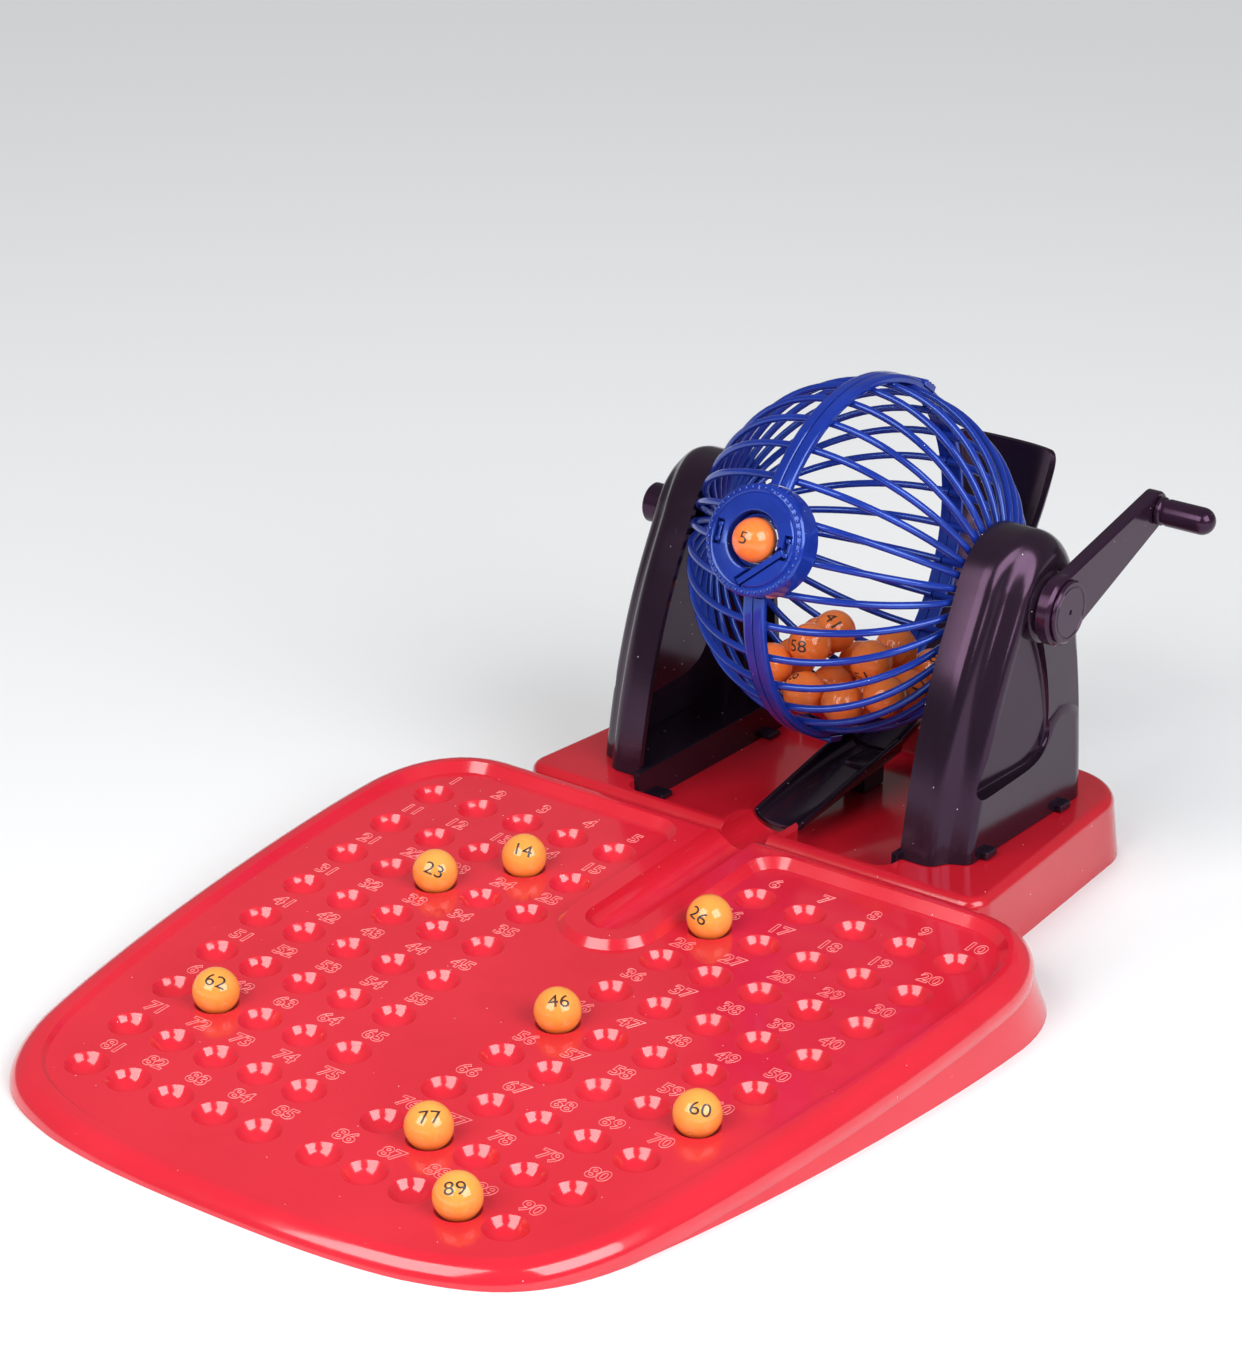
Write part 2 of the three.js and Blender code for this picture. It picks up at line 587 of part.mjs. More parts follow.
function outletPieces() {
  const { radius, holeRadius, face, inner, lipRadius, lipRise } = outlet;
  const finger = new THREE.Vector3(outlet.fingerLength, outlet.fingerThickness, outlet.fingerWidth);
  const room = new THREE.Vector3(outlet.fingerLength + 2 * pieceGap, outlet.slotDepth + cutOverrun,
    outlet.fingerWidth + 2 * outlet.fingerRoom);
  const clip = new THREE.Vector3(outlet.clipWidth, outlet.clipDepth + cutOverrun, outlet.clipLength);
  let ring = turnedAboutOutlet([
    [holeRadius, inner], [radius, inner], [radius, face - lipRise], [lipRadius, face],
    [holeRadius + lipRise, face], [holeRadius, face - lipRise], [holeRadius, inner],
  ], facets.ring);
  ring = ring.subtract(outletBox(room, 0, outlet.fingerOffset, face - outlet.slotDepth, outlet.fingerTurn));
  for (const side of [-1, 1]) {
    ring = ring.subtract(outletBox(clip, side * outlet.clipOffset, 0, face - outlet.clipDepth, 0));
  }
  const sleeveOuter = outlet.sleeveInnerRadius + outlet.sleeveWall;
  const sleeveTop = face - outlet.sleeveSink;
  const sleeve = turnedAboutOutlet([
    [outlet.sleeveInnerRadius, inner], [holeRadius - pieceGap, inner],
    [holeRadius - pieceGap, inner + outlet.sleeveFoot], [sleeveOuter, inner + outlet.sleeveFoot],
    [sleeveOuter, sleeveTop], [outlet.sleeveInnerRadius, sleeveTop], [outlet.sleeveInnerRadius, inner],
  ], facets.bar);
  const bar = outletBox(finger, 0, outlet.fingerOffset, face - outlet.fingerThickness - pieceGap,
    outlet.fingerTurn);
  const sleeveRoom = outletSpace(sleeveOuter + pieceGap, inner, sleeveTop + pieceGap);
  return [
    meshOf("outlet_ring", ring, blue),
    meshOf("outlet_sleeve", sleeve, blue),
    meshOf("outlet_finger", bar.subtract(sleeveRoom), blue),
  ];
}

function outletBall() {
  const geometry = ballGeometry().translate(0, 0, outlet.face - outlet.ballSink);
  return meshOf("outlet_ball", geometry.rotateX(Math.PI / 2 - radians(outlet.tilt)), orange);
}

// Crank

// The arm lies along +Y from the axle until it is turned up by the crank's rise
function crankPieces() {
  const start = stand.outer + stand.bossProud + crank.standGap;
  const { length, armRootRadius, tipRadius, armThickness, edgeRound } = crank;
  const lean = Math.acos((armRootRadius - tipRadius) / length);
  const path = new THREE.Path();
  path.absarc(length, 0, tipRadius, -lean, lean);
  path.absarc(0, 0, armRootRadius, lean, 2 * Math.PI - lean);
  const outline = pointsOf(path, curveSteps.crank);
  const end = start + armThickness;
  const arm = toSolid(standUp(stack(outline, [
    [0, start], [0, end - edgeRound], [edgeRound, end],
  ])));
  const pin = barAlongX(crank.pinRadius, end - cutOverrun, end + crank.pinLength, facets.pin)
    .translate([0, length, 0]);
  const hub = barAlongX(crank.hubRadius, start, end, facets.ring);
  const axleHole = barAlongX(axle.radius + pieceGap, start - cutOverrun, start + crank.axleGrip + pieceGap);
  const knobStart = end + pieceGap;
  const bore = crank.pinRadius + crank.pinRunning;
  const knobEnd = crank.knobLength;
  const shoulder = crank.knobRadius * Math.SQRT1_2;
  const knob = turnedAboutX([
    [bore, 0], [crank.knobRadius, 0], [crank.knobRadius, knobEnd - crank.knobRadius],
    [shoulder, knobEnd - crank.knobRadius + shoulder], [0, knobEnd],
    [0, crank.pinLength + crank.pinRunning], [bore, crank.pinLength + crank.pinRunning], [bore, 0],
  ], facets.knob).translate([knobStart, length, 0]);
  const capStart = end + pieceGap;
  const cap = barAlongX(crank.capRadius, capStart, capStart + crank.capThickness, facets.ring);
  const pieces = [
    meshOf("crank_arm", arm.add(hub).add(pin).subtract(axleHole), black),
    meshOf("crank_cap", cap, black),
    meshOf("crank_knob", knob, black),
  ];
  for (const piece of pieces) piece.geometry.rotateX(radians(crank.rise));
  return pieces;
}

// The open cup on the axle's other end
function axleCapMesh() {
  const start = stand.outer + stand.bossProud + crank.standGap;
  const floor = axleCap.grip + axleCap.wall;
  const cup = turnedAboutX([
    [0, axleCap.grip], [axle.radius + pieceGap, axleCap.grip], [axle.radius + pieceGap, 0],
    [axleCap.radius, 0], [axleCap.radius, axleCap.length], [axleCap.radius - axleCap.wall, axleCap.length],
    [axleCap.radius - axleCap.wall, floor], [0, floor],
  ], facets.bar);
  return meshOf("axle_cap", cup.translate([start, 0, 0]).mirror([1, 0, 0]), black);
}

// Ball guide and ramp

// One cross-section of the trough: its rim's middle, the way down, its size and how far round it goes
function troughRing(rim, down, halfWidth, depth, spread) {
  const sides = guide.sectionSides;
  const points = [];
  for (const shrink of [0, guide.wall]) {
    for (let k = 0; k <= sides; k += 1) {
      const angle = radians(spread) * ((2 * k) / sides - 1) * (shrink === 0 ? 1 : -1);
      const across = Math.sign(angle) * Math.abs(Math.sin(angle)) ** guide.roundness * (halfWidth - shrink);
      const sink = Math.max(Math.cos(angle), 0) ** guide.roundness * (depth - shrink);
      points.push(new THREE.Vector3(across, rim.x + down.x * sink, rim.y + down.y * sink));
    }
  }
  return points;
}

// The guide's cross-section at an angle round the axle
function guideRing(degrees, spread) {
  const direction = new THREE.Vector2(Math.cos(radians(degrees)), Math.sin(radians(degrees)));
  const share = Math.max((degrees - guide.seamAngle) / (guide.topAngle - guide.seamAngle), 0);
  const bulged = share * (1 + guide.bulgeShare * (1 - share));
  const reach = guide.rimSeam + (guide.rimTop - guide.rimSeam) * bulged;
  const rim = direction.clone().multiplyScalar(reach).add(new THREE.Vector2(axle.fromFront, axle.height));
  const halfWidth = guide.halfWidth + (guide.halfWidthTop - guide.halfWidth) * share * Math.sqrt(share);
  const depth = guide.depth + (guide.depthTop - guide.depth) * share;
  return troughRing(rim, direction, halfWidth, depth, spread);
}

// The flat outline that both ends of a trough share
function troughContour() {
  return troughRing(new THREE.Vector2(), new THREE.Vector2(0, -1), guide.halfWidth, guide.depth, guide.spread)
    .map((point) => new THREE.Vector2(point.x, point.z));
}

function ballGuide() {
  const rings = [];
  const lastFull = guide.topAngle - guide.cornerAngle;
  for (let k = 0; k < guide.steps; k += 1) {
    rings.push(guideRing(guide.endAngle + ((lastFull - guide.endAngle) * k) / guide.steps, guide.spread));
  }
  for (let k = 0; k <= guide.cornerSteps; k += 1) {
    const turn = ((Math.PI / 2) * k) / guide.cornerSteps;
    const spread = guide.spread - guide.cornerSpread * (1 - Math.cos(turn));
    rings.push(guideRing(lastFull + guide.cornerAngle * Math.sin(turn), spread));
  }
  return meshOf("ball_guide", toSolid(skin(rings.reverse(), troughContour())), black);
}

// The ramp starts where the guide ends and stands on the well's floor
function ballRamp() {
  const endTurn = radians(guide.endAngle);
  const back = axle.fromFront + guide.rimSeam * Math.cos(endTurn) - 2 * pieceGap;
  const rimBack = axle.height + guide.rimSeam * Math.sin(endTurn);
  const floorBack = rimBack - guide.depth;
  const rings = [];
  for (let k = 0; k <= ramp.steps; k += 1) {
    const share = k / ramp.steps;
    const rim = new THREE.Vector2(ramp.front + (back - ramp.front) * share,
      ramp.rimFront + (rimBack - ramp.rimFront) * share);
    const floor = ramp.floorFront + (floorBack - ramp.floorFront) * share;
    const halfWidth = ramp.halfWidth + (guide.halfWidth - ramp.halfWidth) * share;
    rings.push(troughRing(rim, new THREE.Vector2(0, -1), halfWidth, rim.y - floor + guide.wall,
      guide.spread));
  }
  const foot = box(
    new THREE.Vector3(-guide.footWidth / 2, back - guide.footLength, base.wellFloor + pieceGap),
    new THREE.Vector3(guide.footWidth / 2, back, floorBack));
  const channel = toSolid(skin(rings.reverse(), troughContour()));
  return meshOf("ball_ramp", channel.add(foot), black);
}

// Pile of balls

function pileOfBalls() {
  const meshes = [];
  const clear = cage.barWidth + ballRadius + pile.wallGap;
  pileLayers.forEach(({ rows, perRow, pitch }, layer) => {
    for (let row = 0; row < rows; row += 1) {
      for (let k = 0; k < perRow; k += 1) {
        const along = (k - (perRow - 1) / 2) * pitch;
        const widest = ((perRow - 1) / 2) * pitch;
        const innermost = cageReach(widest, cage.radius - clear, cage.halfLength - clear);
        const onBars = cageReach(along, cage.radius - clear, cage.halfLength - clear);
        const reach = layer === 0 ? onBars : innermost - layer * pile.layerStep;
        const step = 2 * Math.asin(pile.spacing / 2 / Math.min(reach, innermost));
        const turn = (row - (rows - 1) / 2) * step;
        const mesh = meshOf(`cage_ball_${meshes.length + 1}`, ballGeometry(), orange);
        mesh.position.set(along, -reach * Math.sin(turn), -reach * Math.cos(turn));
        meshes.push(mesh);
      }
    }
  });
  return meshes;
}

// Everything that is drawn about the axle
function cageGroup() {
  const group = new THREE.Group();
  const rightEnd = stand.outer + stand.bossProud + crank.standGap + crank.axleGrip;
  const leftEnd = stand.outer + stand.bossProud + crank.standGap + axleCap.grip - pieceGap;
  group.add(meshOf("cage_half_right", cageHalf(rightEnd), blue));
  group.add(meshOf("cage_half_left", cageHalf(leftEnd).mirror([1, 0, 0]), blue));
  group.add(...outletPieces(), outletBall());
  bandClip.angles.forEach((angle, k) => {
    group.add(meshOf(`band_clip_${k + 1}`, bandClipBox(angle, 0), blue));
  });
  group.add(...crankPieces(), axleCapMesh(), ...pileOfBalls());
  group.position.set(0, axle.fromFront, axle.height);
  return group;
}

const game = new THREE.Group();
game.add(numberTray(), ...ballsOnTray(), machineBase(), ...stands(), ballGuide(), ballRamp(), cageGroup());

// The origin is on the table, in the middle of the ground that the whole game covers
const reach = new THREE.Box3().setFromObject(game);
game.position.set(-(reach.min.x + reach.max.x) / 2, -(reach.min.y + reach.max.y) / 2, 0);

export default game;
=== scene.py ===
# Looks for the bingo game: red number tray, base, black stands and the cranked blue ball cage.
# Pieces are shaped in millimetres and laid into the row frame, in metres, when they are done.
import random
from math import acos, asin, atan, atan2, copysign, cos, degrees, pi, radians, sin, sqrt, tau

import bpy
from mathutils import Euler, Matrix, Vector


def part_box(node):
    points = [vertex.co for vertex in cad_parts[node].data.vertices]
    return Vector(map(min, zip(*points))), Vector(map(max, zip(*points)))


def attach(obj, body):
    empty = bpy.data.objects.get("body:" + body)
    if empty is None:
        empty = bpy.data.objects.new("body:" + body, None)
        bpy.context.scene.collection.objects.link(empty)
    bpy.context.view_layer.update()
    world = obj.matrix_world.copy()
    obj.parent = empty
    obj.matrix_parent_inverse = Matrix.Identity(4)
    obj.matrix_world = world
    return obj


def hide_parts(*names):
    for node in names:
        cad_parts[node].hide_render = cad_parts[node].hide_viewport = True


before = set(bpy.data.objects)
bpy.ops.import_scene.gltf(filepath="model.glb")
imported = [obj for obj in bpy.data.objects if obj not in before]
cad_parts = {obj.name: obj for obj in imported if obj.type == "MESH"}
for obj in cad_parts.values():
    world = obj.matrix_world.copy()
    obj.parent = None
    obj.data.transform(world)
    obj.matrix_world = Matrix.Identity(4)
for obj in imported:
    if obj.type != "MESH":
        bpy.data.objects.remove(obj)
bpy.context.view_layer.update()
mm = 0.001


class Look(dict):
    # a dictionary of settings, each of which also reads as look.name
    __getattr__ = dict.__getitem__


# Tools for nodes


def fill(node, values):
    # sets a node's sockets, and gives colours their alpha
    for name, value in values.items():
        socket = node.inputs[name]
        socket.default_value = (*value, 1) if socket.type == "RGBA" else value
    return node


def addNode(tree, kind, values={}, settings={}):
    node = tree.nodes.new("ShaderNode" + kind)
    for name, value in settings.items():
        setattr(node, name, value)
    return fill(node, values)


def wire(tree, nodes, chains):
    # a chain reads "node.Output > Input.node.Output > Input.node", with numbers where names are shared
    def key(word):
        return int(word) if word.isdigit() else word
    for chain in chains:
        stops = [stop.split(".") for stop in chain.split(" > ")]
        for (*_, source, output), (goal, target, *_) in zip(stops, stops[1:]):
            tree.links.new(nodes[source].outputs[key(output)], nodes[target].inputs[key(goal)])


def newMaterial(name, values):
    material = bpy.data.materials.new(name)
    material.use_nodes = True
    shader = fill(material.node_tree.nodes["Principled BSDF"], values)
    return material, material.node_tree, shader


def makeGroup(name, inputs, outputs, parts, chains):
    # an effect with its sockets, its nodes as (kind, values, settings), and how they are wired
    group = bpy.data.node_groups.new(name, "ShaderNodeTree")
    for label, value in inputs.items():
        isColour = isinstance(value, tuple)
        kind = "NodeSocketColor" if isColour else "NodeSocketFloat"
        socket = group.interface.new_socket(name=label, in_out="INPUT", socket_type=kind)
        socket.default_value = (*value, 1) if isColour else value
    for label, kind in outputs.items():
        group.interface.new_socket(name=label, in_out="OUTPUT", socket_type="NodeSocket" + kind)
    nodes = {"start": group.nodes.new("NodeGroupInput"), "end": group.nodes.new("NodeGroupOutput"),
             "place": addNode(group, "TexCoord")}
    for label, (kind, *values) in parts.items():
        nodes[label] = addNode(group, kind, *values)
    wire(group, nodes, chains)
    return group


# Camera, floor and lights

viewLook = Look(
    place=(736.3, -1053.6, 636.9),  # mm, from the middle of the game's footprint
    azimuth=35.44, elevation=22.53, roll=1.21,  # degrees
    lens=108.8, sensor=36,  # mm, the sensor lies along the picture's long side
    nearest=0.05, furthest=20,  # m
)
floorLook = Look(size=40, colour=(0.8, 0.81, 0.82), roughness=0.62)  # m
floorGlow = (0.3, 3, 0.08, 0.68)  # near and far, in m, and how strongly the paper glows there
lightDistance = 1.5  # m
lightLooks = [  # degrees round from the players' side and up, size in m, watts
    Look(name="softbox_left", round=-9, up=41, size=1, power=18, shine=True, colour=(1, 0.985, 0.97)),
    Look(name="softbox_right", round=79, up=38, size=1, power=20, shine=True, colour=(0.98, 0.985, 1)),
    Look(name="softbox_back", round=215, up=60, size=0.5, power=4, shine=False, colour=(1, 1, 1)),
]
worldLook = Look(colour=(0.93, 0.94, 0.96), strength=0.2)


def makeCamera():
    look = viewLook
    bpy.ops.object.camera_add(location=Vector(look.place) * mm)
    camera = bpy.context.object
    gaze = Euler((radians(90 - look.elevation), 0, radians(look.azimuth))).to_matrix()
    camera.rotation_euler = (gaze @ Matrix.Rotation(radians(look.roll), 3, "Z")).to_euler()
    camera.data.lens, camera.data.sensor_width = look.lens, look.sensor
    camera.data.clip_start, camera.data.clip_end = look.nearest, look.furthest
    bpy.context.scene.camera = camera


def makeStage():
    bpy.ops.mesh.primitive_plane_add(size=floorLook.size)
    floor = bpy.context.object
    floor.name = "studio_floor"
    skin, tree, shader = newMaterial("studio_paper", {
        "Base Color": floorLook.colour, "Roughness": floorLook.roughness, "Emission Color": floorLook.colour})
    nodes = {"paper": shader, "place": addNode(tree, "TexCoord"),
             "reach": addNode(tree, "VectorMath", {}, {"operation": "LENGTH"}),
             "rise": addNode(tree, "MapRange", dict(enumerate(floorGlow, 1)))}
    wire(tree, nodes, ["place.Object > 0.reach.Value > Value.rise.Result > Emission Strength.paper"])
    floor.data.materials.append(skin)
    for look in lightLooks:
        turn, rise = radians(look.round), radians(look.up)
        place = Vector((sin(turn) * cos(rise), -cos(turn) * cos(rise), sin(rise)))
        bpy.ops.object.light_add(type="AREA", location=place * lightDistance)
        lamp = bpy.context.object
        lamp.name = look.name
        lamp.data.size, lamp.data.energy, lamp.data.color = look.size, look.power, look.colour
        lamp.visible_glossy = look.shine
        lamp.rotation_euler = (-place).to_track_quat("-Z", "Y").to_euler()
    world = bpy.data.worlds.new("studio")
    bpy.context.scene.world = world
    world.use_nodes = True
    fill(world.node_tree.nodes["Background"], {"Color": worldLook.colour, "Strength": worldLook.strength})
    bpy.context.scene.view_settings.view_transform = "Standard"


makeCamera()
makeStage()
print("stage ready")

# Effects that several plastics share

effectGroups = {}
effectGroups["skin"] = makeGroup(  # a slow ripple with a fine orange peel on it
    "moulded_skin", {"Peel Scale": 900, "Ripple Scale": 60, "Peel Share": 0.35, "Strength": 0.05},
    {"Normal": "Vector"}, {
        "peel": ("TexNoise", {"Detail": 2}), "ripple": ("TexNoise", {"Detail": 1}),
        "blend": ("Mix", {}, {"data_type": "FLOAT"}), "bump": ("Bump", {"Distance": 0.0004}),
    }, [
        "place.Object > Vector.ripple.Fac > A.blend.Result > Height.bump.Normal > Normal.end",
        "place.Object > Vector.peel.Fac > B.blend", "start.Ripple Scale > Scale.ripple",
        "start.Peel Scale > Scale.peel", "start.Peel Share > Factor.blend", "start.Strength > Strength.bump"])
effectGroups["marks"] = makeGroup(  # smudges from hands, hairline scratches and specks of dust, 0 to 1
    "handling_marks", {"Smudge Scale": 22, "Scratch Scale": 260, "Speck Scale": 330, "Speck Size": 0.1},
    {"Smudge": "Float", "Scratch": "Float", "Speck": "Float"}, {
        "smudge": ("TexNoise", {"Detail": 4, "Roughness": 0.6, "Distortion": 0.6}),
        "smudgeRange": ("MapRange", {"From Min": 0.42, "From Max": 0.68}),
        "stretch": ("Mapping", {"Scale": (1, 0.05, 0.4), "Rotation": (0.3, 0.2, 0.9)}),
        "scratch": ("TexNoise", {"Detail": 3, "Roughness": 0.7}),
        "scratchRange": ("MapRange", {"From Min": 0.69, "From Max": 0.76}),
        "speck": ("TexVoronoi",), "rare": ("SeparateColor",),
        "few": ("Math", {1: 0.94}, {"operation": "GREATER_THAN"}),
        "small": ("Math", {}, {"operation": "LESS_THAN"}), "both": ("Math", {}, {"operation": "MULTIPLY"}),
    }, [
        "place.Object > Vector.smudge.Fac > Value.smudgeRange.Result > Smudge.end",
        "place.Object > Vector.stretch.Vector > Vector.scratch.Fac > Value.scratchRange.Result > Scratch.end",
        "place.Object > Vector.speck.Color > Color.rare.Red > 0.few.Value > 0.both.Value > Speck.end",
        "speck.Distance > 0.small.Value > 1.both", "start.Speck Size > 1.small",
        "start.Smudge Scale > Scale.smudge", "start.Scratch Scale > Scale.scratch",
        "start.Speck Scale > Scale.speck"])
effectGroups["drift"] = makeGroup(  # between two shades, as in moulded pigment
    "pigment_drift", {"Shade": (0.5, 0.5, 0.5), "Deep Shade": (0.4, 0.4, 0.4), "Scale": 14},
    {"Color": "Color"}, {
        "cloud": ("TexNoise", {"Detail": 3, "Roughness": 0.55}),
        "spread": ("MapRange", {"From Min": 0.3, "From Max": 0.7}), "mix": ("Mix", {}, {"data_type": "RGBA"}),
    }, [
        "place.Object > Vector.cloud.Fac > Value.spread.Result > Factor.mix.2 > Color.end",
        "start.Scale > Scale.cloud", "start.Shade > 6.mix", "start.Deep Shade > 7.mix"])


def makePlastic(name, look):
    material, tree, shader = newMaterial(name, {
        "Coat Weight": look.coat, "Coat Roughness": look.coatRoughness, "Specular Tint": look.sheen,
        "Specular IOR Level": look.sheenLevel, "Subsurface Weight": look.glow,
        "Subsurface Scale": look.glowDepth, "Subsurface Radius": look.glowColour})
    nodes = {effect: addNode(tree, "Group", {}, {"node_tree": group})
             for effect, group in effectGroups.items()}
    fill(nodes["drift"], {"Shade": look.shade, "Deep Shade": look.deepShade, "Scale": look.driftScale})
    fill(nodes["marks"], {
        "Smudge Scale": look.smudgeScale, "Speck Scale": look.speckScale, "Speck Size": look.speckSize})
    fill(nodes["skin"], {"Strength": look.ripple, "Peel Share": look.peelShare})
    low, high = look.gloss
    nodes.update(
        shader=shader, dust=addNode(tree, "Mix", {}, {"data_type": "RGBA"}),
        gloss=addNode(tree, "MapRange", {"To Min": low, "To Max": high}),
        worn=addNode(tree, "Math", {1: look.scratch}, {"operation": "MULTIPLY_ADD"}))
    fill(nodes["dust"], {7: look.speckShade})
    wire(tree, nodes, [
        "drift.Color > 6.dust.2 > Base Color.shader", "marks.Speck > Factor.dust",
        "marks.Smudge > Value.gloss.Result > 2.worn.Value > Roughness.shader",
        "marks.Scratch > 0.worn", "skin.Normal > Normal.shader"])
    return material


plasticBasis = Look(
    coat=0.25, coatRoughness=0.06, glow=0, glowDepth=0.003, glowColour=(1, 0.3, 0.2),
    sheen=(1, 1, 1), sheenLevel=0.5, driftScale=14, smudgeScale=22, speckScale=420, speckSize=0.07,
    speckShade=(0.85, 0.82, 0.85), ripple=0.05, peelShare=0.35, gloss=(0.13, 0.24), scratch=0.14,
)
blackLook = Look(coat=0, sheenLevel=0.46)
ballPlasticLook = Look(glow=0.2, gloss=(0.1, 0.2), speckSize=0.04, driftScale=60)
plasticLooks = {
    "tray_red_plastic": Look(shade=(0.7, 0.02, 0.04), deepShade=(0.62, 0.013, 0.03), glow=0.1, coat=0.6),
    # a darker red than the tray's: painted shade, for the well that lies in the stands' shadow
    "base_red_painted_shade_plastic": Look(shade=(0.56, 0.012, 0.026), deepShade=(0.46, 0.008, 0.018), glow=0.08),
    # pale pink, far lighter than the tray's red: a painted highlight on the raised number outlines
    "number_red_painted_highlight": Look(shade=(0.95, 0.3, 0.3), deepShade=(0.9, 0.22, 0.22), gloss=(0.08, 0.16)),
    "stand_black_plastic": Look(blackLook, shade=(0.017, 0.009, 0.017), deepShade=(0.009, 0.005, 0.01),
                                sheen=(0.95, 0.55, 0.93), gloss=(0.15, 0.24), speckSize=0.08),
    "crank_black_plastic": Look(blackLook, shade=(0.022, 0.009, 0.021), deepShade=(0.011, 0.005, 0.012),
                                sheen=(0.95, 0.53, 0.93), gloss=(0.14, 0.22)),
    "cage_blue_plastic": Look(shade=(0.012, 0.038, 0.33), deepShade=(0.007, 0.022, 0.22),
                              gloss=(0.1, 0.18), coat=0, sheen=(0.36, 0.52, 1), sheenLevel=1, driftScale=40),
    "ball_orange_plastic": Look(ballPlasticLook, shade=(0.93, 0.24, 0.05), deepShade=(0.88, 0.19, 0.035)),
    "ball_yellow_plastic": Look(ballPlasticLook, shade=(0.95, 0.4, 0.085), deepShade=(0.92, 0.32, 0.055)),
    "number_ink": Look(shade=(0.02, 0.014, 0.012), deepShade=(0.03, 0.02, 0.018), gloss=(0.3, 0.42),
                       coat=0, speckSize=0.03),
}
plastics = {name: makePlastic(name, Look(plasticBasis, **look)) for name, look in plasticLooks.items()}
print("plastics ready")

# Tools for shaping

shift = Matrix.Translation
mirrorX = Matrix.Diagonal((-1, 1, 1, 1))
doubleGap = 0.0005  # mm


def turned(angle, axis="X"):
    return Matrix.Rotation(radians(angle), 4, axis)


def lay(piece, matrix):
    piece.data.transform(matrix)
    return piece


def pick(*pieces):
    bpy.ops.object.select_all(action="DESELECT")
    for piece in pieces:
        piece.select_set(True)
    bpy.context.view_layer.objects.active = pieces[-1]


def add(name, primitive, **settings):
    bpy.ops.object.select_all(action="DESELECT")
    primitive(**settings)
    bpy.context.object.name = name
    return bpy.context.object


def openEdit(piece):
    pick(piece)
    bpy.ops.object.mode_set(mode="EDIT")
    bpy.ops.mesh.select_all(action="SELECT")


def closeEdit():
    bpy.ops.object.mode_set(mode="OBJECT")


def faceOutwards():
    bpy.ops.mesh.select_all(action="SELECT")
    bpy.ops.mesh.normals_make_consistent(inside=False)
    closeEdit()


def weld(piece):
    # doubles merged, loose edges gone, faces outwards
    openEdit(piece)
    bpy.ops.mesh.remove_doubles(threshold=doubleGap)
    bpy.ops.mesh.delete_loose(use_verts=True, use_edges=True, use_faces=False)
    faceOutwards()
    return piece


def loft(name, rings):
    # a grid whose rows are laid on closed rings of points, with its ends filled
    piece = add(name, bpy.ops.mesh.primitive_grid_add, x_subdivisions=len(rings[0]),
                y_subdivisions=len(rings) - 1, size=1)
    points = [point for ring in rings for point in (*ring, ring[0])]
    for vertex, point in zip(piece.data.vertices, points):
        vertex.co = point
    openEdit(piece)
    bpy.ops.mesh.remove_doubles(threshold=doubleGap)
    bpy.ops.mesh.select_all(action="DESELECT")
    bpy.ops.mesh.select_mode(type="EDGE")
    bpy.ops.mesh.select_non_manifold(use_wire=False, use_multi_face=False, use_verts=False)
    bpy.ops.mesh.fill_holes(sides=0)
    bpy.ops.mesh.select_mode(type="VERT")
    faceOutwards()
    return piece


def lathe(name, profile, steps):
    # a closed profile of (radius, along) points, spun about the X axis
    piece = add(name, bpy.ops.mesh.primitive_circle_add, vertices=len(profile), fill_type="NOTHING")
    for vertex, (radius, along) in zip(piece.data.vertices, profile):
        vertex.co = (along, 0, radius)
    openEdit(piece)
    bpy.ops.mesh.spin(steps=steps, angle=tau, center=(0, 0, 0), axis=(1, 0, 0))
    closeEdit()
    return weld(piece)


def rod(name, radius, low, high, steps):
    return lathe(name, [(0, low), (radius, low), (radius, high), (0, high)], steps)


def block(name, low, high, rounding=0, segments=2):
    # a box between two corners, its edges rounded
    low, high = Vector(low), Vector(high)
    piece = add(name, bpy.ops.mesh.primitive_cube_add, size=1)
    lay(piece, shift((high + low) / 2) @ Matrix.Diagonal((*(high - low), 1)))
    if rounding:
        openEdit(piece)
        bpy.ops.mesh.bevel(offset=rounding, segments=segments, affect="EDGES")
        closeEdit()
    return piece


def modify(piece, name, kind, **settings):
    pick(piece)
    modifier = piece.modifiers.new(name, kind)
    for label, value in settings.items():
        setattr(modifier, label, value)
    bpy.ops.object.modifier_apply(modifier=modifier.name)
    return piece


def combine(piece, tool, operation="DIFFERENCE"):
    modify(piece, operation.lower(), "BOOLEAN", operation=operation, solver="MANIFOLD", object=tool)
    bpy.data.objects.remove(tool)
    return piece


def soften(piece, width, segments=3, angle=30):
    return modify(piece, "soft_edges", "BEVEL", width=width, segments=segments, limit_method="ANGLE",
                  angle_limit=radians(angle), use_clamp_overlap=True)


def join(name, pieces):
    pick(*pieces)
    if len(pieces) > 1:
        bpy.ops.object.join()
    piece = bpy.context.object
    piece.name = piece.data.name = name
    return piece


def copyOf(piece, matrix):
    twin = piece.copy()
    twin.data = piece.data.copy()
    bpy.context.scene.collection.objects.link(twin)
    return lay(twin, matrix)


def mirrorOf(piece, name):
    twin = copyOf(piece, mirrorX)
    twin.name = name
    openEdit(twin)
    bpy.ops.mesh.flip_normals()
    closeEdit()
    return twin


def finish(piece, matrix, material, body, nodes=(), smoothAngle=32):
    lay(piece, Matrix.Scale(mm, 4) @ matrix)
    pick(piece)
    bpy.ops.object.shade_smooth_by_angle(angle=radians(smoothAngle))
    modify(piece, "flat_faces_lead", "WEIGHTED_NORMAL", keep_sharp=True)
    if material:
        piece.data.materials.clear()
        piece.data.materials.append(plastics[material])
    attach(piece, body)
    if nodes:
        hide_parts(*nodes)
    print("made", piece.name, len(piece.data.polygons))


def onCircle(angle, radius=1, centre=(0, 0)):
    # a point on a circle, at an angle in degrees
    turn = radians(angle)
    return Vector((centre[0] + radius * cos(turn), centre[1] + radius * sin(turn)))


def arc(centre, radius, start, end, steps):
    return [onCircle(start + (end - start) * k / steps, radius, centre) for k in range(steps + 1)]


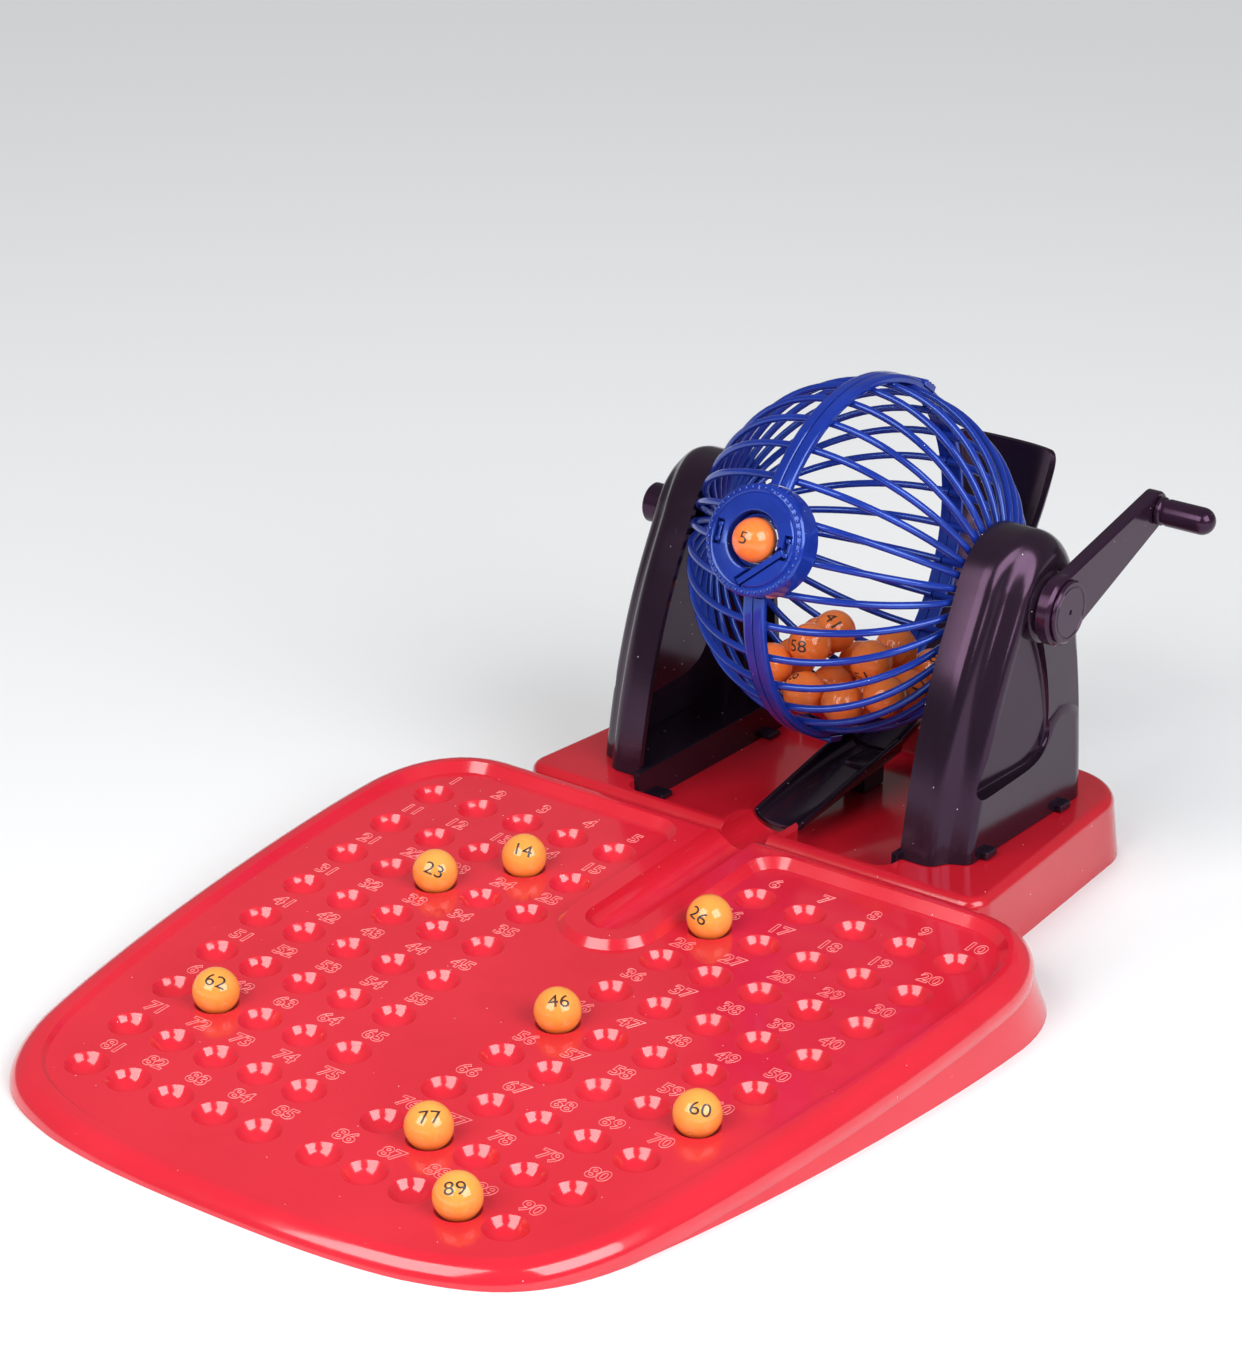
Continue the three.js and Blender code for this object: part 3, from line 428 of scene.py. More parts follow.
def bezier(points, steps):
    a, b, c, d = (Vector(point) for point in points)
    shares = [k / steps for k in range(steps + 1)]
    return [a * (1 - t) ** 3 + b * 3 * t * (1 - t) ** 2 + c * 3 * t * t * (1 - t) + d * t ** 3
            for t in shares]


def mirrored(points):
    # an outline's other half, for one that is drawn from its right side
    return [Vector((-point.x, point.y)) for point in reversed(points)]


def spaced(points, least=0.05):
    # an outline without points that repeat
    kept = []
    for point in points:
        if not kept or (point - kept[-1]).length > least:
            kept.append(point)
    if (kept[0] - kept[-1]).length <= least:
        kept.pop()
    return kept


def inwardSteps(points):
    # how each point of a counter-clockwise outline moves when the outline is drawn in by one
    steps = []
    for k, here in enumerate(points):
        back = (here - points[k - 1]).normalized()
        ahead = (points[(k + 1) % len(points)] - here).normalized()
        normal = Vector((-back.y - ahead.y, back.x + ahead.x)).normalized()
        steps.append(normal / max(normal.dot(Vector((-back.y, back.x))), 0.5))
    return steps


def offsetOutline(points, distance):
    return [point + step * distance for point, step in zip(points, inwardSteps(points))]


def layered(name, outline, levels, toPoint=lambda point, height: Vector((*point, height))):
    # one outline at several levels, each an (inset, height) pair
    return loft(name, [[toPoint(point, height) for point in offsetOutline(outline, inset)]
                       for inset, height in levels])


def leanOf(flare, drop, radius):
    # the angle at which a flared wall meets the rounding above it without a crease
    lean = 0
    for _ in range(9):
        lean = atan((radius * (1 - cos(lean)) + flare) / (drop - radius * (1 + sin(lean))))
    return -degrees(lean)


def roundedLevels(radius, height, steps, startAngle=0):
    # levels of a quarter-round edge that ends at a height
    angles = [radians(startAngle + (90 - startAngle) * k / steps) for k in range(steps + 1)]
    return [(radius * (1 - cos(a)), height - radius * (1 - sin(a))) for a in angles]


# Where things are, from the CAD nodes

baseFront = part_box("machine_base")[0].y / mm
cageLow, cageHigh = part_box("cage_half_right")
axlePlace = Vector((0, (cageLow.y + cageHigh.y) / 2, (cageLow.z + cageHigh.z) / 2)) / mm
axleOverBase = Vector((axlePlace.y - baseFront, axlePlace.z))  # how far back, how high
baseLie = shift((0, baseFront, 0))
axleLie = shift(axlePlace)

# Number tray

trayLook = Look(
    width=281, depth=292, backMargin=36, frontMargin=40, gapToBase=0.6, surfaceHeight=20, fall=3.3,
    rimFall=0.45, rimRise=3.2, rimWidth=9, plate=5.8, wall=2.2, skirtDrop=34, skirtFlare=9,
    edgeRound=8, edgeSteps=8, edgeSoftness=1.1, outlineSteps=14,
    rows=9, columns=10, outerColumnShares=(0.8007, 0.6121), pitchLinearShare=0.53,
    middleGaps=(61, 24.8), gapLinearShare=0.2,
    cupMouth=7.2, cupDepth=4.6, cupLip=0.8, cupSteps=32, lipStart=8, lipAngles=(45, 65, 80, 90),
    runWidth=19.5, runDepth=8.5, runLength=88, runSides=20, runEndSteps=12,
    bedHalfWidth=19.5, bedCorner=9, numberHeight=6, numberBack=12.8, numberSink=0.3,
)
numberLine = {"bevel_depth": 0.15, "offset": 0.19, "bevel_resolution": 1, "resolution_u": 4}
digitShare = 0.72  # of a letter's size
trayOutlineShares = [  # half of the outline as Bezier curves: shares of the half width and of the depth
    [(0.726, 0), (0.885, 0), (0.985, 0.06), (0.995, 0.15)],
    [(0.995, 0.15), (1.008, 0.33), (0.952, 0.64), (0.866, 0.815)],
    [(0.866, 0.815), (0.795, 0.93), (0.68, 0.955), (0.51, 0.98)],
    [(0.51, 0.98), (0.34, 1), (0.14, 1), (0, 1)],
]
trayBack = baseFront - trayLook.gapToBase
trayLie = shift((0, trayBack - trayLook.backMargin, trayLook.surfaceHeight)) @ turned(trayLook.fall)


def trayOutline():
    look = trayLook
    right = []
    for curve in trayOutlineShares:
        points = [(x * look.width / 2, look.backMargin - y * look.depth) for x, y in curve]
        right += bezier(points, look.outlineSteps)[:-1]
    front = Vector((0, look.backMargin - look.depth))
    return spaced(list(reversed([*mirrored(right), *right, front])))


def socketPlaces():
    # row by row from the back; the columns close up and the middle gap narrows towards the front
    look = trayLook
    sides = look.columns // 2
    rowPitch = (look.depth - look.backMargin - look.frontMargin) / (look.rows - 1)
    pitches = [(share * look.width / 2 - gap / 2) / (sides - 1)
               for share, gap in zip(look.outerColumnShares, look.middleGaps)]
    for row in range(look.rows):
        t = row / (look.rows - 1)
        pitch, gap = (back + (front - back) * (share * t + (1 - share) * t * t) for back, front, share in (
            (*pitches, look.pitchLinearShare), (*look.middleGaps, look.gapLinearShare)))
        for column in range(look.columns):
            across = column - sides if column >= sides else column - sides + 1
            yield Vector((across * pitch + (gap / 2 if column >= sides else -gap / 2), -row * rowPitch, 0))


def panelOutline():
    # the sunk panel, which runs round the raised bed of the trough
    look = trayLook
    rim = look.rimWidth + look.rimRise
    half, corner = look.bedHalfWidth, look.bedCorner
    back = look.backMargin - rim
    bedEnd = look.backMargin - look.runLength + look.runWidth / 2
    outer = offsetOutline(trayOutline(), rim)
    split = max(range(len(outer)), key=lambda k: (outer[k].x - outer[k - 1].x) ** 2)
    outer = outer[split:] + outer[:split]  # starts at the left end of the straight back edge
    side = arc((half + corner, back - corner), corner, 90, 180, 8)
    return spaced([*side, *arc((0, bedEnd), half, 0, -180, 28), *mirrored(side), *outer])


def runCutter():
    # the drawn ball's trough: half an ellipse across, with a round end
    look = trayLook
    half, depth, high = look.runWidth / 2, look.runDepth, look.rimRise
    end = look.backMargin - look.runLength + half

    def section(y, share):
        turns = [pi * (1 + k / look.runSides) for k in range(look.runSides + 1)]
        return [*(Vector((half * share * cos(t), y, high + depth * share * sin(t))) for t in turns),
                *(Vector((side * half * share, y, high + depth)) for side in (1, -1))]
    turns = [radians(90 * k / look.runEndSteps) for k in range(look.runEndSteps)]
    rings = [section(end - half * cos(turn), max(sin(turn), 0.02)) for turn in turns]
    return loft("run_cutter", [*rings, section(end, 1), section(look.backMargin + look.plate, 1)])


def cupCutter():
    # a round cup whose mouth flares out softly into the panel
    look = trayLook
    mouth, depth, lip = look.cupMouth, look.cupDepth, look.cupLip
    radius = (mouth ** 2 + depth ** 2) / (2 * depth)
    last = degrees(asin(mouth / radius)) - look.lipStart
    turns = [radians(last * k / 9) for k in range(10)]
    bowl = [(radius * sin(t), radius - depth - radius * cos(t)) for t in turns]
    turns = [radians(a) for a in ((90 - last) * 0.35, *look.lipAngles)]
    flare = [(mouth + lip - lip * cos(t), 0.01 - lip * (1 - sin(t)) * 0.8) for t in turns]
    flare = [point for point in flare if point[0] > bowl[-1][0]]
    cutter = lathe("cup_cutter", [*bowl, *flare, (mouth + lip, 1.5), (0, 1.5)], look.cupSteps)
    return lay(cutter, turned(-90, "Y"))


def buildTray():
    look = trayLook
    rise, drop, flare = look.rimRise, look.skirtDrop, look.skirtFlare
    lean = leanOf(flare, drop + rise, look.edgeRound)
    body = layered("tray_shell", trayOutline(), [
        (-flare, -drop), *roundedLevels(look.edgeRound, rise, look.edgeSteps, lean)])
    lay(body, turned(look.rimFall))
    combine(body, layered("panel_cutter", panelOutline(), [(0, 0), (-rise, rise), (-rise, 4 * rise)]))
    combine(body, runCutter())
    soften(body, look.edgeSoftness, 4, 25)
    combine(body, layered("under_cutter", trayOutline(), [
        (look.wall - flare, -drop - look.wall), (look.wall, -look.plate - 2)]))
    cup = cupCutter()
    cups = [copyOf(cup, shift(place)) for place in socketPlaces()]
    bpy.data.objects.remove(cup)
    combine(body, join("cup_cutters", cups))
    lay(body, trayLie)
    far = look.depth * 2
    combine(body, block("table", (-far, -far, -far), (far, far, 0)))
    combine(body, block("behind", (-far, trayBack, -far), (far, far, far)))
    finish(body, Matrix(), "tray_red_plastic", "game_board", ["number_tray"])


def writeNumber(text, height, **settings):
    words = add("number", bpy.ops.object.text_add)
    settings.update(body=text, align_x="CENTER", align_y="CENTER", size=height / digitShare)
    for label, value in settings.items():
        setattr(words.data, label, value)
    bpy.ops.object.convert(target="MESH")
    return bpy.context.object


def buildTrayNumbers():
    # raised outlines of the numbers, each behind its socket
    look = trayLook
    proud = Vector((0, look.numberBack, numberLine["bevel_depth"] * look.numberSink))
    numbers = []
    for k, place in enumerate(socketPlaces(), 1):
        words = writeNumber(str(k), look.numberHeight, fill_mode="NONE", **numberLine)
        numbers.append(lay(words, shift(place + proud)))
    piece = join("tray_numbers", numbers)
    # the numbers take the pale red of the painted highlight
    finish(piece, trayLie, "number_red_painted_highlight", "game_board", smoothAngle=60)


buildTray()
buildTrayNumbers()

# Machine base

baseLook = Look(
    width=198, backWidth=184, depth=127, height=24, cornerRadius=26, frontRadius=9,
    draft=2.5, wall=2.2, edgeRound=4, edgeSteps=8, edgeSoftness=0.9,
    wellHalfWidth=57.4, wellFloor=13.4, wellFront=5, wellBack=8, wellCorner=7, wellDraft=1,
    spoutWidth=27, spoutReach=23, spoutRound=9,
)


def roundedFrame(front, back):
    # an outline from its front and back edge: half width, place, corner radius and steps
    (half, low, radius, steps), (backHalf, high, backRadius, backSteps) = front, back
    right = [*arc((half - radius, low + radius), radius, -90, 0, steps),
             *arc((backHalf - backRadius, high - backRadius), backRadius, 0, 90, backSteps)]
    return spaced([*right, *mirrored(right)])


def buildBase():
    look = baseLook
    height, wall, floor, draft = look.height, look.wall, look.wellFloor, look.wellDraft
    lean = leanOf(look.draft, height, look.edgeRound)
    outline = roundedFrame((look.width / 2, 0, look.frontRadius, 6),
                           (look.backWidth / 2, look.depth, look.cornerRadius, 14))
    body = layered("base_shell", outline, [
        (-look.draft, 0), *roundedLevels(look.edgeRound, height, look.edgeSteps, lean)])
    half, corner = look.wellHalfWidth, look.wellCorner
    well = roundedFrame((half, look.wellFront, corner, 6), (half, look.depth - look.wellBack, corner, 6))
    combine(body, layered("well_cutter", well, [
        (draft + 2, floor), (draft + 0.6, floor + 0.6), (draft, floor + 2), (0, height + 1)]))
    edge, bend = look.spoutWidth / 2, look.spoutRound
    lip = [Vector((-edge, wall)), Vector((edge, wall))]
    lip += [Vector((edge * point.x, look.spoutReach - bend + bend * point.y))
            for point in arc((0, 0), 1, 0, 180, 20)]
    combine(body, layered("spout", spaced(lip), [(0, wall), (0, height - wall / 2)]), "UNION")
    combine(body, lay(runCutter(), shift((0, -baseFront + trayLook.runLength / 2, 0)) @ trayLie))
    soften(body, look.edgeSoftness, 3, 25)
    combine(body, layered("cavity_cutter", outline, [(wall - look.draft, -1), (wall, floor - wall)]))
    combine(body, block("ahead", (-150, -50, -10), (150, 0, 60)))
    # the base takes the darker red of the painted shade
    finish(body, baseLie, "base_red_painted_shade_plastic", "game_board", ["machine_base"])


buildBase()

# Stands

standLook = Look(
    inner=57, outer=80, headRadius=26, headAngles=(10, 160), foot=(56.5, 41.5), footGap=0.3,
    frontShoulder=(-32.5, -8.7), frontKnee=(-50, -31.5), backShoulder=(29, -13), backKnee=(39.5, -42.6),
    wall=2.4, edgeRound=11, softness=0.6, recessDepth=6, recessFloorRound=1.6,
    boss=(12, 1.5), sleeve=(8.6, 63), bore=5.35,
    clip=Look(width=7, depth=3, height=3, spread=26, inside=2, softness=0.7),
    tab=Look(width=7, depth=6, height=2.2, spread=36, inside=1, softness=0.6),
    flange=Look(proud=2, inside=0.6, top=2.5), sole=Look(height=2, start=3.4, front=12, back=8),
    backLegSink=1.7, backLegTop=-12, backLegLow=-58,
)
ridgeLevels = [  # the front leg from its face to its side: how far in, and how far below the side
    (0, 23), (0, 15), (0.2, 12.8), (0.9, 10.8), (2.3, 9.2), (4.2, 8.4), (6, 7.4), (7.3, 5.8), (8.2, 3.8),
    (9.1, 2), (10.2, 0.8), (11.5, 0.15), (13, 0),
]
backLegOutline = [  # about the axle: over the low swelling, then up behind the stand
    (-4, -60), (6, -58), (9.5, -54.5), (12, -50.5), (16, -48), (21, -48.6), (28, -52.6), (70, -79),
    (70, -4), (-4, -4),
]
backLegSteps = [  # how far in, and the share of the sink
    (5, 1), (4, 0.64), (3, 0.36), (2, 0.16), (1, 0.04), (0, 0), (0, -1)]
recessSlope = 0.075  # the recess floor rises towards the back leg
ridgeFade = (150, 75)  # degrees round the head over which the second ridge fades away
recessCurves = [  # about the axle: back side, lower back corner, lower front corner, front side
    [(-9, -1), (2, -14), (8, -38), (8.6, -46)],
    [(8.6, -46), (9.4, -57), (3, -61), (-9, -61.5)],
    [(-33, -62.5), (-40.5, -62.8), (-41, -60), (-38.5, -54.5)],
    [(-38.5, -54.5), (-30, -36), (-22, -19), (-15, -2)],
]


def standOutline(foot):
    look = standLook
    head = look.headRadius
    back, front = look.headAngles
    frontReach, backReach = look.foot
    return spaced([
        *bezier([(backReach, foot), look.backKnee, look.backShoulder, onCircle(back, head)], 18),
        *arc((0, 0), head, back, front, 30),
        *bezier([onCircle(front, head), look.frontShoulder, look.frontKnee, (-frontReach, foot)], 24)])


def recessOutline(grow=0):
    points = [point for curve in recessCurves for point in bezier(curve, 9)]
    return offsetOutline(spaced(list(reversed(points))), -grow)


def sideways(point, along):
    # an outline drawn as (back, up), laid so that its height runs along X
    return Vector((along, point.x, point.y))


def ridgeShare(point):
    # 1 where the stand has its second ridge, 0 where its edge is plainly round
    turn = degrees(atan2(point.y, point.x)) % 360
    start, end = ridgeFade
    share = min(max((turn - end) / (start - end), 0), 1)
    return share * share * (3 - 2 * share) if turn < 270 else 0


def standRings(outline, plain, thinner):
    # the outline at each level, from a plain rounding to the two ridges, drawn in by a wall's thickness
    outer = standLook.outer
    steps = inwardSteps(outline)
    shares = [ridgeShare(point) for point in outline]
    rings = []
    for (inset, height), (ridgeInset, ridgeDrop) in zip(plain, ridgeLevels):
        lower = thinner if height > standLook.inner else 0
        rings.append([sideways(point + step * (inset + (ridgeInset - inset) * share + thinner),
                               height + (outer - ridgeDrop - height) * share - lower)
                      for point, step, share in zip(outline, steps, shares)])
    return rings


def buildStand():
    look = standLook
    outer, inner, wall, bend, curve = look.outer, look.inner, look.wall, look.edgeRound, look.recessFloorRound
    foot = baseLook.height + look.footGap - axlePlace.z
    outline = standOutline(foot - 2 * bend)
    plain = [(0, inner), *roundedLevels(bend, outer, len(ridgeLevels) - 2)]
    body = loft("stand_right_shell", standRings(outline, plain, 0))
    floor = outer - look.recessDepth
    recess = recessOutline()
    deepest = min(point.x for point in recess)
    combine(body, layered("pocket", recess, [
        (curve, floor), (curve * 0.3, floor + curve * 0.3), (0, floor + curve), (0, outer + 5)],
        lambda point, height: sideways(point, height + recessSlope * (point.x - deepest))))
    top, low = look.backLegTop, look.backLegLow

    def sunk(point, share):
        # the back leg's side leans in towards its foot, and the cutter's last level stands clear of it
        depth = look.backLegSink * share * (top - point.y) / (top - low)
        return sideways(point, outer + 3 if share < 0 else outer + 0.03 - depth)
    combine(body, layered("back_leg_sink", [Vector(p) for p in backLegOutline], backLegSteps, sunk))
    radius, proud = look.boss
    combine(body, lathe("boss", [
        (0, floor - 0.5), (radius + 1.5, floor - 0.5), (radius + 1.2, outer + 0.2),
        (radius, outer + proud * 0.6), (radius - 0.8, outer + proud), (0, outer + proud)], 48), "UNION")
    core = loft("core", standRings(outline, [(0, inner - 2), *plain[1:]], wall))
    levels = [(0, floor - wall), (0, outer + 5)]
    combine(body, combine(core, layered("pocket_wall", recessOutline(wall), levels, sideways)))
    combine(body, rod("sleeve", *look.sleeve, outer - 1, 40), "UNION")
    combine(body, block("under", (0, -90, foot - 50), (120, 90, foot)))
    combine(body, rod("bore", look.bore, 0, 120, 40))
    soften(body, look.softness, 3, 38)
    flange, sole = look.flange, look.sole
    frontReach, backReach = look.foot
    low = baseLook.wellFloor + 0.1 - axlePlace.z
    parts = [block("flange", (inner - flange.proud, -frontReach, low),
                   (inner + flange.inside, backReach, foot + flange.top), 0.3),
             block("sole", (inner + 0.2, sole.start - frontReach, foot),
                   (outer - bend, backReach - 1, foot + sole.height)),
             block("sole", (outer - bend, sole.front - frontReach, foot),
                   (outer - 3, backReach - sole.back, foot + sole.height))]
    clip, tab = look.clip, look.tab
    for side in (-1, 1):
        for part, start, end, under in ((clip, outer - clip.inside, outer + clip.depth, foot),
                                        (tab, inner - tab.depth, inner + tab.inside, low)):
            middle = (backReach - frontReach) / 2 + side * part.spread
            parts.append(block("clip", (start, middle - part.width / 2, under),
                               (end, middle + part.width / 2, under + part.height), part.softness, 3))
    right = join("stand_right_shell", [*parts, body])
    left = mirrorOf(right, "stand_left_shell")
    for piece, node in ((right, "stand_right"), (left, "stand_left")):
        finish(piece, axleLie, "stand_black_plastic", "game_board", [node])


buildStand()

# Cage

cageLook = Look(
    radius=65.4, halfLength=60.5, barWidth=2.6, barThickness=2.7, bars=30, barSteps=22, barSides=10,
    bandRadius=68, bandWidth=8.8, bandThickness=3, gap=0.3, hubRadius=13, hubThickness=3,
    collarRadius=8, collarEnd=62.7, axleRadius=5, axleEnds=(86.8, 86),
)
outletLook = Look(
    tilt=21, face=74.4, inner=62.5, radius=20, holeRadius=10.1, lipRadius=16.6, room=0.3, barAngle=24,
    beads=44, beadRadius=0.6, sleeve=(8.4, 1.2, 2, 3.3),
    finger=Look(width=2.2, thickness=1.6, length=21, offset=9.9, along=-2, turn=43, room=0.9, slot=4),
    clip=Look(offset=14.2, length=9, width=3.2, depth=3, sink=0.1),
)
bandClipLook = Look(angles=(124, 204, 284), length=8, width=10, rise=1, softness=0.5,
                    ribSize=(9.2, 0.9), ribRise=1.3, ribs=(-2.4, 0, 2.4))
outletLie = turned(-outletLook.tilt) @ turned(-90, "Z")


def aim(turn):
    # turns what points along +Z to a direction round the axle, 0 being the players' side and 90 the top
    return turned(90 - turn)


def cageBar():
    look = cageLook
    half, middle = look.barThickness / 2, look.barWidth / 2
    last = asin(look.hubRadius / 2 / look.radius)
    rings = []
    for k in range(look.barSteps + 1):
        angle = pi / 2 + (last - pi / 2) * k / look.barSteps
        out = Vector((cos(angle), 0, sin(angle)))
        place = Vector(((look.halfLength - middle) * out.x, 0, (look.radius - middle) * out.z))
        place.x = max(place.x, look.gap)
        turns = [radians(360 / look.barSides * n) for n in range(look.barSides)]
        rings.append([place + out * half * cos(t) + Vector((0, 1, 0)) * half * sin(t) for t in turns])
    return loft("bar", rings)


def outletSpace():
    look = outletLook
    cutter = rod("outlet_space", look.radius + look.room, look.inner - 20, look.face + 6, 64)
    return lay(cutter, outletLie)


def bandBlock(name, angle, width, length, low, high, rounding=0, along=0):
    # a box on the band, at an angle round the axle
    half, reach = width / 2, length / 2
    return lay(block(name, (-half, along - reach, low), (half, along + reach, high), rounding), aim(angle))


def bandClipBlock(angle, grow, rounding=0):
    clip, top = bandClipLook, cageLook.bandRadius
    return bandBlock("band_clip", angle, clip.width + 2 * grow, clip.length + 2 * grow,
                     top - cageLook.bandThickness / 2 - grow, top + clip.rise + grow, rounding)


def buildCage():
    look = cageLook
    outer, half = look.bandRadius, look.bandWidth / 2
    start, inner = look.gap / 2, outer - look.bandThickness
    band = lathe("band", [
        (inner, start), (outer - 0.3, start), (outer, start + 0.3), (outer, half - 1.5),
        (outer - 0.2, half - 0.7), (outer - 0.8, half - 0.1), (outer - 1.4, half), (inner + 0.4, half),
        (inner, half - 0.4)], 180)
    combine(band, outletSpace())
    for angle in bandClipLook.angles:
        combine(band, bandClipBlock(angle, look.gap))
    bar = cageBar()
    parts = [band]
    for k in range(look.bars):
        turn = 360 * k / look.bars
        twin = copyOf(bar, turned(turn))
        fromOutlet = abs((90 + turn - outletLook.tilt + 180) % 360 - 180)
        if fromOutlet < outletLook.barAngle:
            combine(twin, outletSpace())
        if twin.data.polygons:
            parts.append(twin)
    bpy.data.objects.remove(bar)
    hub, top, collar, end = look.hubRadius, look.halfLength, look.collarRadius, look.collarEnd
    low = top - look.hubThickness
    parts.append(lathe("hub", [
        (0, low), (hub - 0.6, low), (hub, low + 0.6), (hub, top - 0.8), (hub - 0.8, top), (collar + 0.8, top),
        (collar, top + 0.5), (collar, end - 0.3), (collar - 0.3, end), (0, end)], 60))
    right = join("cage_half_right_wire", parts)
    left = mirrorOf(right, "cage_half_left_wire")
    radius = look.axleRadius
    for piece, node, side, end in ((right, "cage_half_right", 1, look.axleEnds[0]),
                                   (left, "cage_half_left", -1, look.axleEnds[1])):
        start, end = side * (low + 0.5), side * end
        shaft = lathe("shaft", [
            (0, start), (radius, start), (radius, end - side * 0.5), (radius - 0.5, end), (0, end)], 32)
        whole = join(piece.name, [shaft, piece])
        finish(whole, axleLie, "cage_blue_plastic", "cage", [node], 40)
    clip = bandClipLook
    for k, angle in enumerate(clip.angles, 1):
        ribs = [bandBlock("rib", angle, *clip.ribSize, outer, outer + clip.ribRise, 0.2, along)
                for along in clip.ribs]
        piece = join(f"band_clip_{k}_snap", [*ribs, bandClipBlock(angle, 0, clip.softness)])
        finish(piece, axleLie, "cage_blue_plastic", "cage", [f"band_clip_{k}"], 40)


def outletBox(name, size, across, up, low, turn=0, rounding=0, along=0):
    # a box at the outlet: x across the ring, y up its face, z out from the axle
    x, y, z = size
    piece = block(name, (-x / 2, -y / 2, low), (x / 2, y / 2, low + z), rounding)
    lay(piece, shift((across, 0, 0)) @ turned(turn, "Z") @ shift((along, up, 0)))
    return lay(piece, aim(outletLook.tilt))


def buildOutlet():
    look = outletLook
    hole, radius, face, inner, lip = look.holeRadius, look.radius, look.face, look.inner, look.lipRadius
    ring = lathe("outlet_ring_plate", [
        (hole, inner), (radius - 0.4, inner), (radius, inner + 0.4), (radius, face - 2.1),
        (radius - 0.5, face - 1.45), (radius - 1, face - 1.2), (lip + 1.2, face - 0.8),
        (lip + 0.7, face - 1.1), (lip + 0.3, face - 1.1), (lip, face - 0.3), (lip - 0.4, face),
        (hole + 1.1, face), (hole + 0.4, face - 0.3), (hole, face - 1)], 96)
    lay(ring, outletLie)
    finger, clip = look.finger, look.clip
    room = (finger.length + 0.6, finger.width + 2 * finger.room, finger.slot + 2)
    fingerLie = {"turn": finger.turn, "along": finger.along}
    combine(ring, outletBox("finger_slot", room, 0, -finger.offset, face - finger.slot, **fingerLie))
    width, length, depth, offset = clip.width, clip.length, clip.depth, clip.offset
    low = face - depth - clip.sink
    parts = [ring]
    for side in (-1, 1):
        combine(ring, outletBox("clip_slot", (width, length, depth + 2), side * offset, 0, face - depth))
        hook, bar = (width * 0.62, 1.5, depth * 0.95), (width * 0.4, length * 0.72, depth * 0.7)
        parts += [outletBox("hook", hook, side * offset, up, low, 0, 0.3) for up in (-2.6, 2.6)]
        parts.append(outletBox("hook_bar", bar, side * (offset + 0.3), 0, low, 0, 0.3))
    size, reach = look.beadRadius, (lip + radius) / 2 + 0.3
    for k in range(look.beads):
        turn = 360 * k / look.beads
        bead = block("bead", (-size, -size, -0.5), (size, size, 0.65), 0.25)
        place = shift((*onCircle(turn, reach), face - 1.1))
        parts.append(lay(bead, aim(look.tilt) @ place @ turned(turn, "Z")))
    ring = join("outlet_ring_plate", parts)
    finish(ring, axleLie, "cage_blue_plastic", "cage", ["outlet_ring"], 35)

    bore, wall, foot, sink = look.sleeve
    top, skin = face - sink, bore + wall
    sleeve = lathe("outlet_sleeve_tube", [
        (bore, inner), (hole - 0.3, inner), (hole - 0.3, inner + foot), (skin, inner + foot),
        (skin, top - 0.4), (skin - 0.4, top), (bore + 0.4, top), (bore, top - 0.4)], 64)
    lay(sleeve, outletLie)
    finish(sleeve, axleLie, "cage_blue_plastic", "cage", ["outlet_sleeve"], 35)

    size = (finger.length, finger.width, finger.thickness)
    low = face - finger.thickness - 0.3
    bar = outletBox("outlet_finger_spring", size, 0, -finger.offset, low, **fingerLie)
    combine(bar, lay(rod("sleeve_room", skin + 0.3, inner, top + 0.3, 64), outletLie))
    soften(bar, 0.3, 2, 40)
    finish(bar, axleLie, "cage_blue_plastic", "outlet_finger", ["outlet_finger"], 35)


buildCage()
buildOutlet()

# Crank

crankLook = Look(
    start=82.3, length=67, rise=17, hubRadius=13, capRadius=11.5, capThickness=1.4, rootRadius=12,
    tipRadius=7, thickness=5.6, axleHole=5.3, axleGrip=4.5, gap=0.3,
    knobRadius=5.3, knobLength=22.5, knobWaist=0.96, knobPlay=0.4, pinRadius=2.4, pinLength=16,
)
axleCapLook = Look(radius=7.6, length=9, wall=1.6, grip=4)


